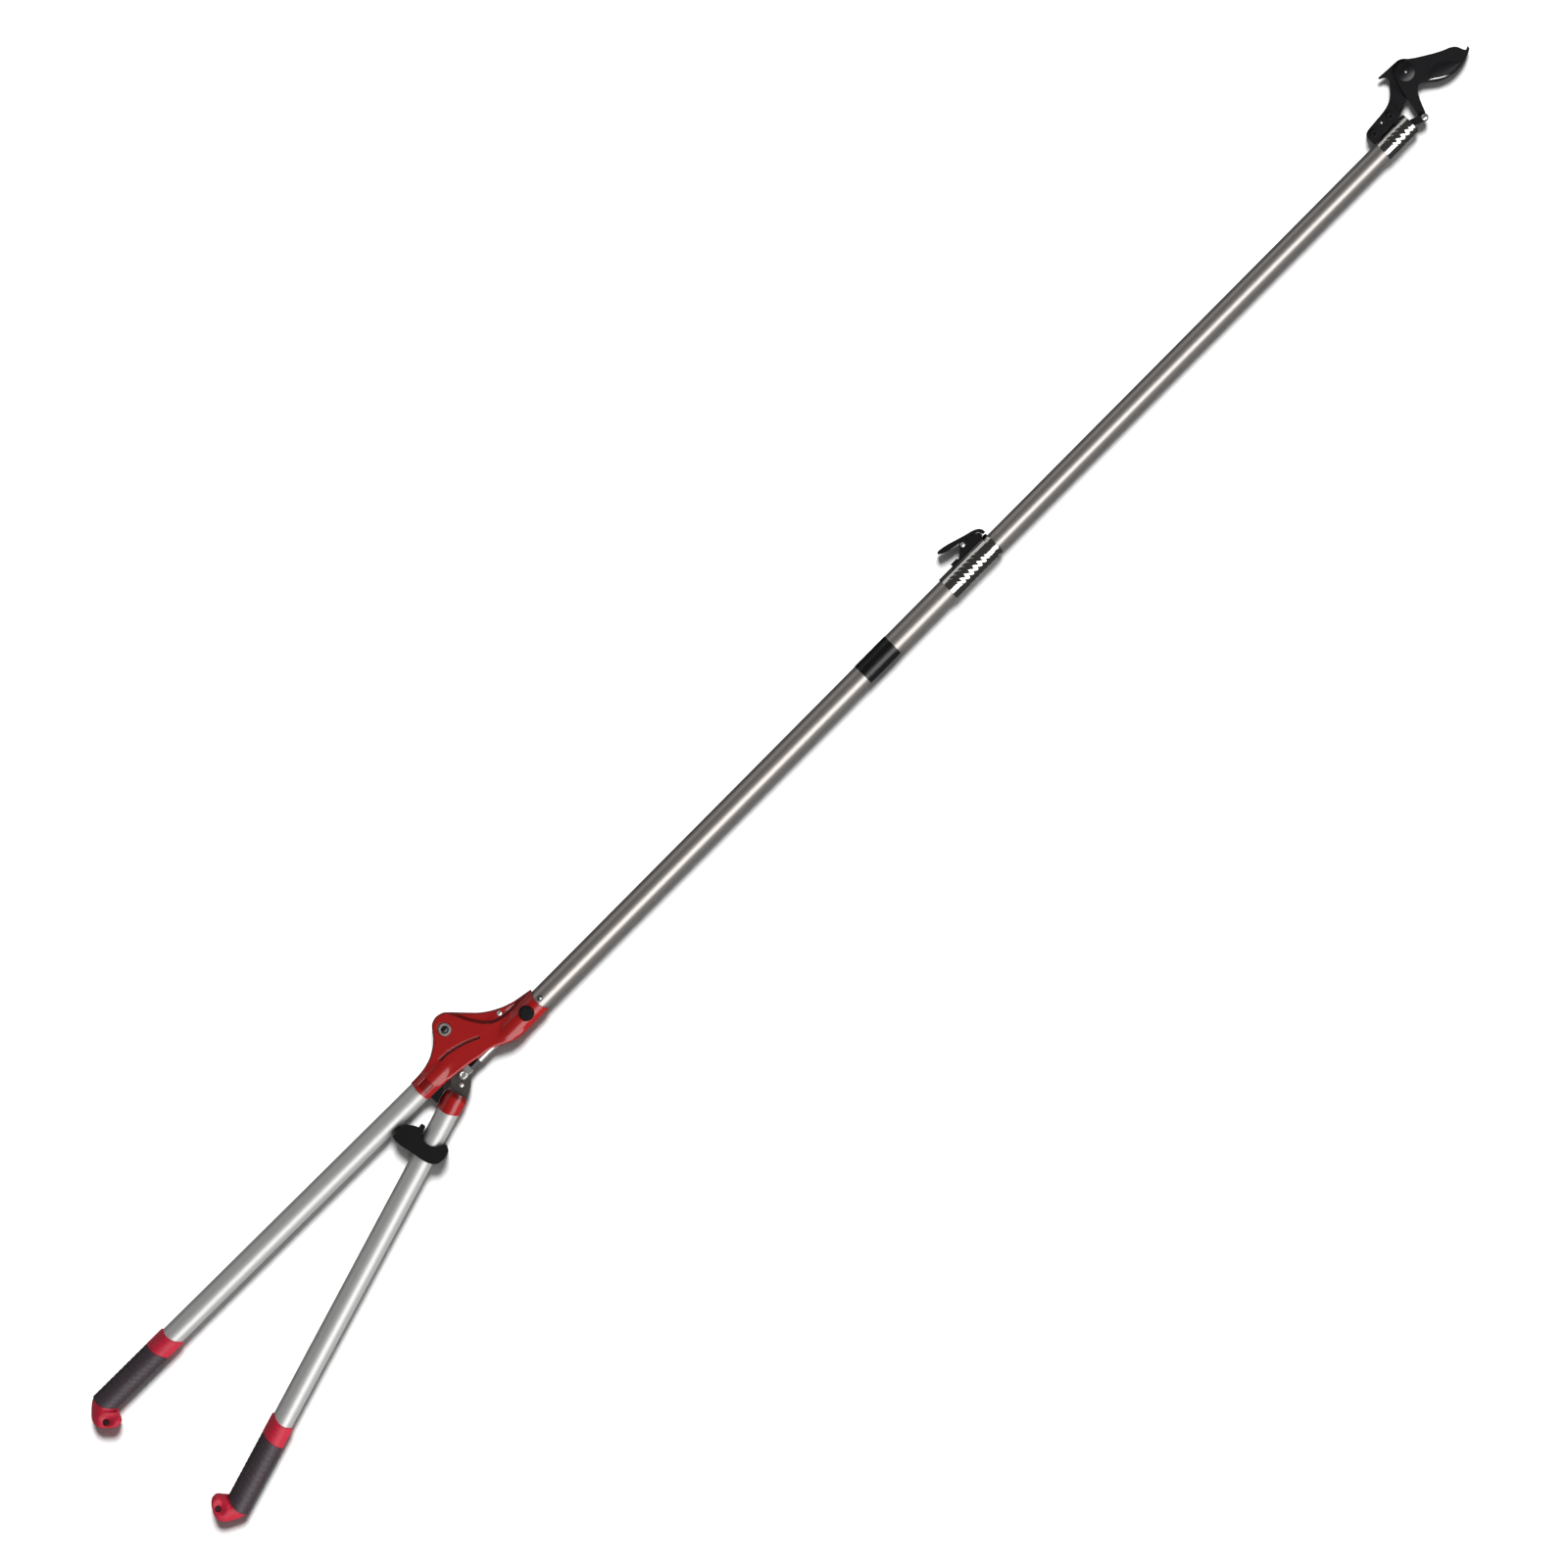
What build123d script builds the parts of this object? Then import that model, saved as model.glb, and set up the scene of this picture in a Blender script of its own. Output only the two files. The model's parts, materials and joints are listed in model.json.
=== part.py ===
"""Telescopic bypass loppers, closed, pole fully drawn out.

Working coordinates, in millimetres: X runs along the pole toward the cutting head and starts under the main
pivot, Y = 0 is the axis of the pole and grows toward the fixed handle, Z = 0 is the axis plane of the tubes.
The last step moves everything so that the origin is the bottom centre of the whole tool.
"""

import os
from math import cos, radians, sin

from build123d import *

# Where the bottom centre of the whole tool lies in the working coordinates
CENTRE_X = 560.02
CENTRE_Y = -58.7
FLOOR = 17.0

# Tubes
TUBE_RADIUS = 14.2
TUBE_BORE = 12.9
INNER_RADIUS = 12.5
INNER_BORE = 11.0
POLE_START = 64.0
POLE_END = 912.0
INNER_START = 752.0
INNER_END = 1655.0

# Handles: distance along each handle is counted from the foot of the main pivot
FIXED_TILT = 0.52
FIXED_OFFSET = 25.4
MOVING_TILT = 16.7
MOVING_OFFSET = 4.0
COLLAR_START = 511.0
SLEEVE_START = 539.0
SLEEVE_END = 631.4
HANDLE_END = 624.0
GRIP_RADIUS = 16.0
LINER_RADIUS = 15.0
COLLAR_SLANT = 10.6
KNOB_SLANT = 21.8
KNOB_HALF = 17.0
HANG_HOLE = 4.5
HANG_HOLE_AT = (646.5, 19.0)

# Linkage: two equal arms make a parallelogram with the pull rod
PIVOT = (1.2, 58.6)
BLADE_PIVOT = (1701.4, 49.6)
ARM = (-23.8, -56.8)
ROD_Y = PIVOT[1] + ARM[1]
CLEVIS = (PIVOT[0] + ARM[0], ROD_Y)
LINK = (BLADE_PIVOT[0] + ARM[0], BLADE_PIVOT[1] + ARM[1])
BOLT_RADIUS = 5.0
RUNNING = 0.05

# Housing and lever plate
SHELL_HALF = 11.5
FLANGE_HALF = 6.5
POCKET_HALF = 3.7
SOCKET_RADIUS = 15.6
SOCKET_SIDE = 12.7
SADDLE_RADIUS = 27.0
SADDLE_DEEPEST = 106.5
POLE_SOCKET_RADIUS = 16.2
PLATE_HALF = 3.0

# Pull rod
ROD_RADIUS = 6.0
ROD_BORE = 4.5
INNER_ROD_RADIUS = 4.0

# Clamp
CLAMP_START = 837.0
CLAMP_END = 920.0
CLAMP_RADIUS = 16.0
LEVER_PIN = (889.5, 25.8)

# Head
HEAD_SLEEVE_START = 1610.0
HEAD_SLEEVE_END = 1661.0
HEAD_SLEEVE_RADIUS = 14.3
HOOK_BOTTOM = -7.2
HOOK_TOP = -2.2
BLADE_HALF = 2.0
DOME_BALL = 27.2


def bar(x0, x1, radius, y=0.0, z=0.0):
    """Round bar along X."""
    return Pos((x0 + x1) / 2, y, z) * Rot(0, 90, 0) * Cylinder(radius, x1 - x0)


def pipe(x0, x1, radius, bore, y=0.0):
    """Round tube along X."""
    return bar(x0, x1, radius, y) - bar(x0 - 1, x1 + 1, bore, y)


def cone_bar(x0, x1, radius0, radius1):
    """Cone along X from one radius to another."""
    return Pos((x0 + x1) / 2, 0, 0) * Rot(0, 90, 0) * Cone(radius0, radius1, x1 - x0)


def post(point, z0, z1, radius):
    """Round post standing along Z."""
    return Pos(point[0], point[1], (z0 + z1) / 2) * Cylinder(radius, z1 - z0)


def block(x0, x1, y0, y1, z0, z1):
    """Rectangular block between two corners."""
    return Pos((x0 + x1) / 2, (y0 + y1) / 2, (z0 + z1) / 2) * Box(x1 - x0, y1 - y0, z1 - z0)


def slab(edges, z0, z1):
    """Closed run of edges pulled up into a flat plate."""
    face = make_face(Curve() + edges)
    return Pos(0, 0, z0) * extrude(face, z1 - z0, dir=(0, 0, 1))


def polygon(points, z0, z1):
    """Flat plate with straight sides."""
    return slab([Polyline(*points, close=True)], z0, z1)


def link_plate(circles, z0, z1):
    """Flat plate whose outline is drawn tight around a few circles given as (x, y, radius)."""
    edges = [edge for x, y, r in circles for edge in (Pos(x, y) * Circle(r)).edges()]
    return Pos(0, 0, z0) * extrude(make_hull(edges), z1 - z0, dir=(0, 0, 1))


def hex_prism(point, z0, z1, across_flats):
    """Hexagon standing along Z."""
    outline = Pos(point[0], point[1], z0) * RegularPolygon(across_flats / 2, 6, major_radius=False)
    return extrude(outline, z1 - z0, dir=(0, 0, 1))


def slant_plane(x, slant):
    """Plane across a handle, leaned over by the slant in degrees."""
    return Plane(origin=(x, 0, 0), z_dir=(cos(radians(slant)), sin(radians(slant)), 0))


def on_fixed(shape):
    """Carry a shape from the handle's own coordinates to the fixed handle; its +Y faces the other handle."""
    return shape.moved(Location((0, FIXED_OFFSET, 0), (0, 0, 180 - FIXED_TILT)))


def on_moving(shape):
    """Carry a shape to the moving handle; its -Y faces the other handle."""
    return shape.moved(Location((0, MOVING_OFFSET, 0), (0, 0, 180 + MOVING_TILT)))


# --- Grips ---------------------------------------------------------------------------------------------------


def knob():
    """Hooked end knob with a hang hole, flat underneath and rounded around its rim."""
    rim = Spline(
        (624, -15.4), (638, -13.5), (650.5, -4.5), (658.8, 4), (659.5, 14), (652, 24), (642, 31), (635, 32.5),
        (629.5, 28), (627, 21), (624, 15.4),
    )
    body = slab([rim, Line((624, 15.4), (624, -15.4))], -KNOB_HALF, KNOB_HALF)
    sides = body.faces().filter_by(Axis.Z).edges().filter_by(lambda e: e.center().X > 625)
    return fillet(sides, 5.0)


def grip_core():
    """Red moulding: collar, thin liner under the sleeve and the end knob, bored for the tube."""
    collar = split(bar(500, SLEEVE_END, GRIP_RADIUS), slant_plane(COLLAR_START, COLLAR_SLANT), Keep.TOP)
    collar = split(collar, slant_plane(SLEEVE_START, COLLAR_SLANT), Keep.BOTTOM)
    liner = bar(SLEEVE_START - 4, SLEEVE_END, LINER_RADIUS)
    end = split(knob() + bar(615, 640, GRIP_RADIUS - 0.4), slant_plane(SLEEVE_END, KNOB_SLANT), Keep.TOP)
    core = collar + liner + end
    core -= bar(480, HANDLE_END, TUBE_RADIUS)
    core -= post(HANG_HOLE_AT, -KNOB_HALF - 1, KNOB_HALF + 1, HANG_HOLE)
    return core


def grip_sleeve():
    """Black soft sleeve with slanted ring grooves."""
    sleeve = split(bar(500, 700, GRIP_RADIUS), slant_plane(SLEEVE_START, COLLAR_SLANT), Keep.TOP)
    sleeve = split(sleeve, slant_plane(SLEEVE_END, KNOB_SLANT), Keep.BOTTOM)
    sleeve -= bar(500, 700, LINER_RADIUS)
    for i in range(11):
        groove = Torus(GRIP_RADIUS + 0.5, 1.0)
        sleeve -= Pos(550 + 6.8 * i, 0, 0) * Rot(0, 0, COLLAR_SLANT) * Rot(0, 90, 0) * groove
    return sleeve


def handle_tube(start):
    """Bare aluminium handle tube."""
    return pipe(start, HANDLE_END, TUBE_RADIUS, TUBE_BORE)


def mirrored(shape):
    """Turn a grip piece so that its hook faces the other handle on the moving side."""
    return mirror(shape, Plane.XZ)


# --- Housing -------------------------------------------------------------------------------------------------


def housing_outline():
    """Outline of the housing: low over the handle socket, a round lobe at the pivot, a long run to the pole."""
    return [
        Spline((-76, 38.9), (-51, 41.2), (-34.5, 47.4), (-20, 57.6), (-12, 67)),
        ThreePointArc((-12, 67), (3, 77.4), (18.5, 71.5)),
        Spline((18.5, 71.5), (34.8, 54.5), (48, 41.5), (64, 31.0), (82.7, 23.2), (113, 15.8)),
        Polyline((113, 15.8), (111.5, -15.2), (63, -15.0)),
        Spline((63, -15.0), (52.5, -12.6), (42.8, -8.2), (26.8, -0.5), (8.1, 2.9), (-10.6, 6.5), (-42.5, 11.4),
               (-76, 13.4)),
        Line((-76, 13.4), (-76, 38.9)),
    ]


def housing_block():
    """Both shells as one body: plate with rounded rim, socket for the handle and socket for the pole."""
    body = slab(housing_outline(), -SHELL_HALF, SHELL_HALF)
    handle = bar(42, 77, SOCKET_RADIUS) + cone_bar(14, 42, 10.5, SOCKET_RADIUS)
    pole = bar(58, 113, POLE_SOCKET_RADIUS) + cone_bar(28, 58, 10.0, POLE_SOCKET_RADIUS)
    body += on_fixed(handle & block(0, 90, -SOCKET_SIDE, SOCKET_SIDE, -20, 20))
    body += pole
    body -= post((SADDLE_DEEPEST + SADDLE_RADIUS, 0), -30, 30, SADDLE_RADIUS)
    flange = [(19, 67.6), (31.3, 43), (43.6, 26), (55.9, 19.5), (74.3, 16.6), (125, 16.6), (125, 95), (25, 95)]
    body -= polygon(flange, FLANGE_HALF, 30)
    body -= polygon(flange, -30, -FLANGE_HALF)
    body -= on_fixed(bar(46, 90, TUBE_RADIUS))
    body -= bar(POLE_START, 130, TUBE_RADIUS)
    return body


def housing_pocket():
    """Space inside the housing where the lever plate, the clevis and the rod move."""
    swing = [(-15.6, 57), (-42, 15), (-56, 2), (-40, -20), (46, -20), (34, 3), (15.6, 54)]
    pocket = polygon(swing, -POCKET_HALF, POCKET_HALF)
    pocket += post(PIVOT, -POCKET_HALF, POCKET_HALF, 15.6)
    pocket += block(-40, 36, -20, 9.5, -7.4, 7.4)
    pocket += block(-20, POLE_START + 2, -10.2, 8.8, -6.9, 6.9)
    return pocket


def housing_details():
    """Shallow marks on the visible faces: a long curved groove and a square dimple over the handle."""
    groove = SlotArc(ThreePointArc((-30, 35.6), (-3, 31.8), (24, 21.2)), 3.6)
    marks = Pos(0, 0, SHELL_HALF - 1.6) * extrude(groove, 8)
    dimple = Pos(-62, 26, 14.4) * Rot(0, 0, -FIXED_TILT) * extrude(RectangleRounded(14, 14.5, 2), 4)
    marks += dimple
    marks += post(PIVOT, SHELL_HALF - 1.0, SHELL_HALF + 1, 8.8)
    marks += post((88, 0), 15.2, 20, 8.4)
    return marks


def housing_shell(upper):
    """One half of the housing; the halves meet in the axis plane."""
    shell = housing_block() - housing_pocket()
    shell -= post(PIVOT, -20, 20, BOLT_RADIUS)
    shell -= post((63.9, 24), -20, 20, 2.6)
    shell -= post((88, 0), 10, 20, 3.0)
    if upper:
        shell -= housing_details()
        return shell & block(-120, 160, -60, 120, 0, 40)
    shell -= post(PIVOT, -SHELL_HALF - 1, -SHELL_HALF + 1.0, 8.8)
    return shell & block(-120, 160, -60, 120, -40, 0)


def main_bolt():
    """Main pivot bolt: round flanged head with a domed socket button, and its shank."""
    head = post(PIVOT, SHELL_HALF - 1.0, SHELL_HALF + 1.6, 8.0)
    head = chamfer(head.edges().group_by(Axis.Z)[-1], 1.2)
    button = post(PIVOT, SHELL_HALF + 1.6, SHELL_HALF + 3.0, 5.0)
    shank = post(PIVOT, -15.6, SHELL_HALF, BOLT_RADIUS)
    return head + button + shank - hex_prism(PIVOT, SHELL_HALF + 0.8, SHELL_HALF + 4, 5.0)


def main_nut():
    """Locking nut under the housing."""
    flange = post(PIVOT, -SHELL_HALF - 0.2, -SHELL_HALF + 1.0, 8.0)
    return flange + hex_prism(PIVOT, -15.2, -SHELL_HALF, 13.0) - post(PIVOT, -20, 20, BOLT_RADIUS)


def pivot_washer(side):
    """Thin washer between the lever plate and a shell."""
    low = min(side * 3.1, side * POCKET_HALF)
    high = max(side * 3.1, side * POCKET_HALF)
    return post(PIVOT, low, high, 12.0) - post(PIVOT, -20, 20, BOLT_RADIUS)


def housing_rivet():
    """Rivet through the two flanges."""
    shank = post((63.9, 24), -FLANGE_HALF, FLANGE_HALF, 2.6)
    heads = post((63.9, 24), FLANGE_HALF, 8.0, 3.4) + post((63.9, 24), -8.0, -FLANGE_HALF, 3.4)
    return shank + heads


def socket_bolt():
    """Short hexagon bolt that holds the pole in its socket."""
    return hex_prism((88, 0), 15.2, 19.0, 14.0) + post((88, 0), TUBE_BORE - 0.2, 15.2, 3.0)


def pole_rivet():
    """Rivet on the pole just past the housing."""
    return post((113.6, 1), TUBE_BORE - 0.2, 15.2, 2.6) & bar(100, 130, 15.2)


def rubber_stop():
    """Rubber block under the housing that the moving socket closes against."""
    stop = polygon([(-71, 15), (-71, -0.2), (-52.5, 5.3), (-52.5, 15)], -7.0, 7.0)
    return stop - on_fixed(bar(30, 90, SOCKET_RADIUS)) - slab(housing_outline(), -SHELL_HALF, SHELL_HALF)


# --- Moving handle -------------------------------------------------------------------------------------------


def lever_plate():
    """Steel lever: round eye at the pivot, pull-rod pin at its heel and a tongue into the handle tube."""
    web = slab([
        Line((-13.6, 54.6), (-34.5, 17)),
        ThreePointArc((-34.5, 17), (-38.3, 8.6), (-46.5, 2.4)),
        Line((-46.5, 2.4), (-43, -22.8)),
        ThreePointArc((-43, -22.8), (-30, -17.2), (-17.2, -6.3)),
        ThreePointArc((-17.2, -6.3), (-13.6, -0.4), (-14.2, 4.4)),
        Line((-14.2, 4.4), (13.2, 53.2)),
        Line((13.2, 53.2), (-13.6, 54.6)),
    ], -PLATE_HALF, PLATE_HALF)
    plate = web + post(PIVOT, -PLATE_HALF, PLATE_HALF, 14.0)
    plate += on_moving(block(44, 112, -10, 10, -PLATE_HALF, PLATE_HALF))
    plate -= post(PIVOT, -10, 10, 6.5)
    plate -= post(CLEVIS, -10, 10, 3.0 + RUNNING)
    plate -= post((-33.8, -5.5), -10, 10, 2.2)
    return plate


def pivot_bush():
    """Bronze bush in the eye of the lever plate."""
    return post(PIVOT, -PLATE_HALF, PLATE_HALF, 6.5) - post(PIVOT, -20, 20, BOLT_RADIUS + RUNNING)


def lever_rivet():
    """Round-headed rivet in the lever plate."""
    at = (-33.8, -5.5)
    return post(at, -3.0, 3.0, 2.2) + post(at, 3.0, 4.2, 3.2) + post(at, -4.2, -3.0, 3.2)


def moving_socket():
    """Red cap over the front end of the moving tube, slotted for the lever plate."""
    cap = bar(52, 74, 15.0) + cone_bar(47, 52, 13.2, 15.0)
    cap -= bar(56, 90, TUBE_RADIUS)
    return cap - block(40, 60, -20, 20, -PLATE_HALF, PLATE_HALF)


def stop_bumper():
    """Black bumper: ring round the moving tube with a pad that meets the fixed handle."""
    body = slab([
        Line((131.5, -46.6), (113.8, -41.9)),
        Spline((113.8, -41.9), (109.5, -33), (107.5, -23)),
        Polyline((107.5, -23), (101.4, -22), (102, -16.6), (113.6, -14.8)),
        ThreePointArc((113.6, -14.8), (119.8, -0.6), (113.5, 13)),
        Polyline((113.5, 13), (110.6, 15.2), (110.4, 18.6), (115, 23.4)),
        Spline((115, 23.4), (127, 23.6), (135, 20), (140.5, 4), (138.4, -14), (136.8, -34), (131.5, -46.6)),
    ], -15.9, 15.9)
    return body - bar(90, 160, TUBE_RADIUS)


# --- Pull rod ------------------------------------------------------------------------------------------------


def rod_clevis():
    """Forked end that straddles the lever plate."""
    x, y = CLEVIS
    fork = post(CLEVIS, -6.3, 6.3, 6.0) + block(x, x + 13.0, y - 5.0, y + 5.0, -6.3, 6.3)
    fork -= block(x - 10, x + 10.4, -20, 20, -3.3, 3.3)
    fork += bar(x + 12, x + 28, 3.5, y) + bar(x + 27.2, x + 45, ROD_BORE, y)
    return fork - post(CLEVIS, -10, 10, 3.0)


def clevis_pin():
    """Clevis pin with a broad ring head."""
    pin = post(CLEVIS, -7.2, 7.2, 3.0) + post(CLEVIS, 6.3, 7.3, 5.0) + post(CLEVIS, -7.3, -6.3, 5.0)
    return pin - post(CLEVIS, 5.5, 8, 2.0)


def rod_lock_nut():
    """Long dark lock nut between the clevis and the rod."""
    x, y = CLEVIS
    nut = Pos(x + 13.0, y, 0) * Rot(0, 90, 0) * extrude(RegularPolygon(4.6, 6, major_radius=False), 14)
    return nut - bar(x + 10, x + 34, 3.5, y)


def outer_rod():
    """Rod tube that fills most of the pole."""
    return pipe(CLEVIS[0] + 27.2, 900, ROD_RADIUS, ROD_BORE, ROD_Y)


def rod_guide():
    """Plastic disc that keeps the rod tube near the middle of the pole."""
    return bar(396, 408, 8.4, ROD_Y) - bar(390, 420, ROD_RADIUS, ROD_Y)


def inner_rod():
    """Rod that slides in the rod tube, carries a guide disc and ends in the link fork."""
    return bar(780, 1650, INNER_ROD_RADIUS, ROD_Y)


def inner_rod_guide():
    """Plastic disc on the inner rod near the head."""
    return bar(1574, 1584, 6.6, ROD_Y) - bar(1570, 1590, INNER_ROD_RADIUS, ROD_Y)


def link_fork():
    """Dark fork from the inner rod down to the heel of the blade."""
    fork = link_plate([(LINK[0], LINK[1], 4.8), (1659, 0.2, 4.2)], -5.4, 5.4)
    fork -= block(LINK[0] - 13.4, 1690, -20, 20, -2.4, 2.4)
    fork -= bar(1640, 1650, INNER_ROD_RADIUS, ROD_Y)
    fork += bar(1645, 1657, 4.9, ROD_Y) - bar(1640, 1650, INNER_ROD_RADIUS, ROD_Y)
    return fork - post(LINK, -10, 10, 2.5)


def link_pin():
    """Bright pin through the fork and the blade heel."""
    pin = post(LINK, -6.6, 6.8, 2.5) + post(LINK, 5.4, 6.8, 3.9) + post(LINK, -6.6, -5.4, 3.9)
    return pin


# --- Pole ----------------------------------------------------------------------------------------------------


def outer_tube():
    """Outer pole tube with holes for the socket bolt and the rivet and a window for the brake shoe."""
    tube = pipe(POLE_START, POLE_END, TUBE_RADIUS, TUBE_BORE)
    tube -= post((88, 0), 5, 20, 3.0)
    tube -= post((113.6, 1), 5, 20, 2.6)
    return tube - block(888, 902, 10.0, 20, -3.6, 3.6)


def tube_band():
    """Thin moulded band round the outer tube with a raised frame on it."""
    band = pipe(686, 739, 14.7, TUBE_RADIUS)
    frame = (bar(693, 732, 15.0) - bar(696, 729, 15.5)) & block(680, 745, -9, 9, 0, 20)
    return band + (frame - bar(680, 745, 14.7))


def clamp_sleeve():
    """Bright ribbed sleeve that closes the end of the outer tube round the inner tube."""
    sleeve = pipe(CLAMP_START, POLE_END, CLAMP_RADIUS, TUBE_RADIUS)
    sleeve += pipe(POLE_END, CLAMP_END, CLAMP_RADIUS - 1.0, INNER_RADIUS + 0.45)
    for i in range(8):
        groove = Torus(CLAMP_RADIUS + 0.4, 1.7)
        sleeve -= Pos(846.5 + 7.35 * i, 0, 0) * Rot(0, 0, 14) * Rot(0, 90, 0) * groove
    return sleeve - block(888, 902, 12.0, 20, -3.6, 3.6)


def lock_bracket():
    """Black bracket on the side of the sleeve: two cheeks on a saddle, with a small foot in front."""
    cheek = [
        Polyline((866, 17.0), (875, 17.6), (880, 21.5), (885.5, 27), (889.5, 28.8), (896, 28.2)),
        Polyline((896, 28.2), (914.6, 23.3), (916.1, 18.6), (913.5, 15), (913.5, 12), (866, 12), (866, 17.0)),
    ]
    body = slab(cheek, -8.2, 8.2)
    body -= block(875, 930, 15.8, 40, -4.4, 4.4)
    body += block(861.5, 872, 13.0, 19.0, -6.5, 6.5)
    body -= bar(830, 930, CLAMP_RADIUS)
    body -= block(888, 902, 10.0, 20, -3.6, 3.6)
    return body - post(LEVER_PIN, -20, 20, 2.5)


def lock_lever():
    """Thumb lever: a long paddle over the bracket with an eye on the pin and a cam nose over the shoe."""
    paddle = slab([
        Line((859, 39.6), (861, 42)),
        Spline((861, 42), (866.8, 41.5), (885, 37), (903.6, 31.5), (916, 27), (919.6, 23.5), (920.8, 17)),
        Polyline((920.8, 17), (917.4, 17), (915, 23.6), (904, 26), (889.5, 30), (883, 31), (870, 33.6)),
        Spline((870, 33.6), (864, 36.2), (859, 39.6)),
    ], -8.0, 8.0)
    eye = link_plate([(LEVER_PIN[0], LEVER_PIN[1], 4.6), (893, 31, 2.5)], -3.3, 3.3)
    cam = link_plate([(LEVER_PIN[0], LEVER_PIN[1], 4.6), (895, 20.6, 2.0)], -3.3, 3.3)
    cheeks = polygon([(870, 12), (886, 27.6), (889.5, 29.3), (896, 28.8), (916, 23.6), (916, 12)], -8.6, -4.2)
    cheeks += mirror(cheeks, Plane.XY)
    return paddle - cheeks + eye + cam - post(LEVER_PIN, -20, 20, 2.5 + RUNNING)


def lock_pin():
    """Steel pin of the thumb lever."""
    return post(LEVER_PIN, -9.0, 9.0, 2.5) + post(LEVER_PIN, 8.2, 9.2, 3.2) + post(LEVER_PIN, -9.2, -8.2, 3.2)


def lock_spring():
    """Small coil round the lever pin that pushes the lever back out."""
    return Torus(3.4, 0.4).moved(Location((LEVER_PIN[0], LEVER_PIN[1], -3.85)))


def brake_shoe():
    """Little shoe that the lever lets press on the inner tube."""
    shoe = block(890, 900, 12.6, 17.6, -3.0, 3.0)
    return shoe - bar(880, 910, INNER_RADIUS + 0.5)


def rear_bushing():
    """Plastic ring in the rear end of the inner tube."""
    plug = pipe(INNER_START - 8, INNER_START, INNER_RADIUS, 9.6)
    return plug + pipe(INNER_START, INNER_START + 10, INNER_BORE, 9.6)


# --- Cutting head --------------------------------------------------------------------------------------------


def head_sleeve():
    """Bright ribbed sleeve round the end of the inner tube."""
    sleeve = pipe(HEAD_SLEEVE_START, HEAD_SLEEVE_END, HEAD_SLEEVE_RADIUS, INNER_RADIUS)
    for i in range(4):
        groove = Torus(HEAD_SLEEVE_RADIUS + 0.4, 1.5)
        sleeve -= Pos(1623.5 + 7.6 * i, 0, 0) * Rot(0, 0, 14) * Rot(0, 90, 0) * groove
    return sleeve


def head_casting():
    """Black casting beside the sleeve that holds the hook plate, with two cheeks on the neck and four lugs."""
    body = slab([
        Line((1610, 14), (1610, 26.5)),
        Spline((1610, 26.5), (1613, 30), (1619.9, 31.9), (1646.9, 34.2), (1659.2, 37.3)),
        Polyline((1659.2, 37.3), (1659.2, 16.6), (1653.6, 16.6), (1653.6, 10), (1645, 10), (1645, 16.6)),
        Polyline((1645, 16.6), (1621, 16.6), (1621, 10), (1612, 10), (1612, 14), (1610, 14)),
    ], -10.5, 7.5)
    neck = slab([
        Spline((1655, 36), (1659.2, 37.3), (1669.1, 44.2), (1676.0, 52.0)),
        Line((1676.0, 52.0), (1678.6, 26.0)),
        Spline((1678.6, 26.0), (1671.5, 21.8), (1655, 17)),
        Line((1655, 17), (1655, 36)),
    ], -9.6, 1.2)
    body += neck
    body -= hook_plate_blank()
    body -= bar(1600, 1670, HEAD_SLEEVE_RADIUS)
    for point in CASTING_BOLTS:
        body -= post(point, -20, 20, 2.6)
    return body


CASTING_BOLTS = [(1618.6, 23.3), (1648.2, 24.6)]


def casting_bolt(point):
    """Socket-head bolt through the casting and the neck of the hook plate."""
    body = post(point, 7.5, 11.0, 4.3) + post(point, -10.5, 7.5, 2.6) - hex_prism(point, 9.0, 12, 4.4)
    return body + hex_prism(point, -14.0, -10.5, 8.0)


def casting_rivet():
    """Small rivet between the two bolts."""
    return post((1634.6, 26.4), 7.5, 8.3, 1.4)


def hook_plate_blank():
    """Outline plate of the fixed jaw: neck, backward spur, round eye and curved hook."""
    return slab([
        Line((1614, 17.5), (1614, 29.5)),
        Spline((1614, 29.5), (1634.6, 31.6), (1646.9, 33.6), (1659.2, 37.0), (1669.1, 44.2), (1677.7, 53.2),
               (1680.1, 59), (1677.9, 62.8), (1672.8, 65.7)),
        Polyline((1672.8, 65.7), (1671.5, 68.8), (1703.5, 67.0)),
        Spline((1703.5, 67.0), (1711.6, 63.4), (1718, 55.5), (1726, 43), (1737, 28.5), (1750, 20), (1765, 15.4),
               (1774, 14.8)),
        Polyline((1774, 14.8), (1780.2, 17.4), (1779.4, 13.5)),
        Spline((1779.4, 13.5), (1769.8, 8.6), (1757.5, 5.5), (1745.2, 4.9), (1732.9, 7.4), (1723.1, 11.7),
               (1714.5, 18.4), (1707, 24.6), (1702.2, 26.4)),
        Spline((1702.2, 26.4), (1692, 27.5), (1680, 24.4), (1671.5, 21.5), (1659.2, 17.5)),
        Line((1659.2, 17.5), (1614, 17.5)),
    ], HOOK_BOTTOM, HOOK_TOP)


def hook_plate():
    """Fixed jaw drilled for the blade pivot and the casting bolts."""
    plate = hook_plate_blank() - post(BLADE_PIVOT, -20, 20, BOLT_RADIUS)
    for point in CASTING_BOLTS:
        plate -= post(point, -20, 20, 2.6)
    return plate


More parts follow.
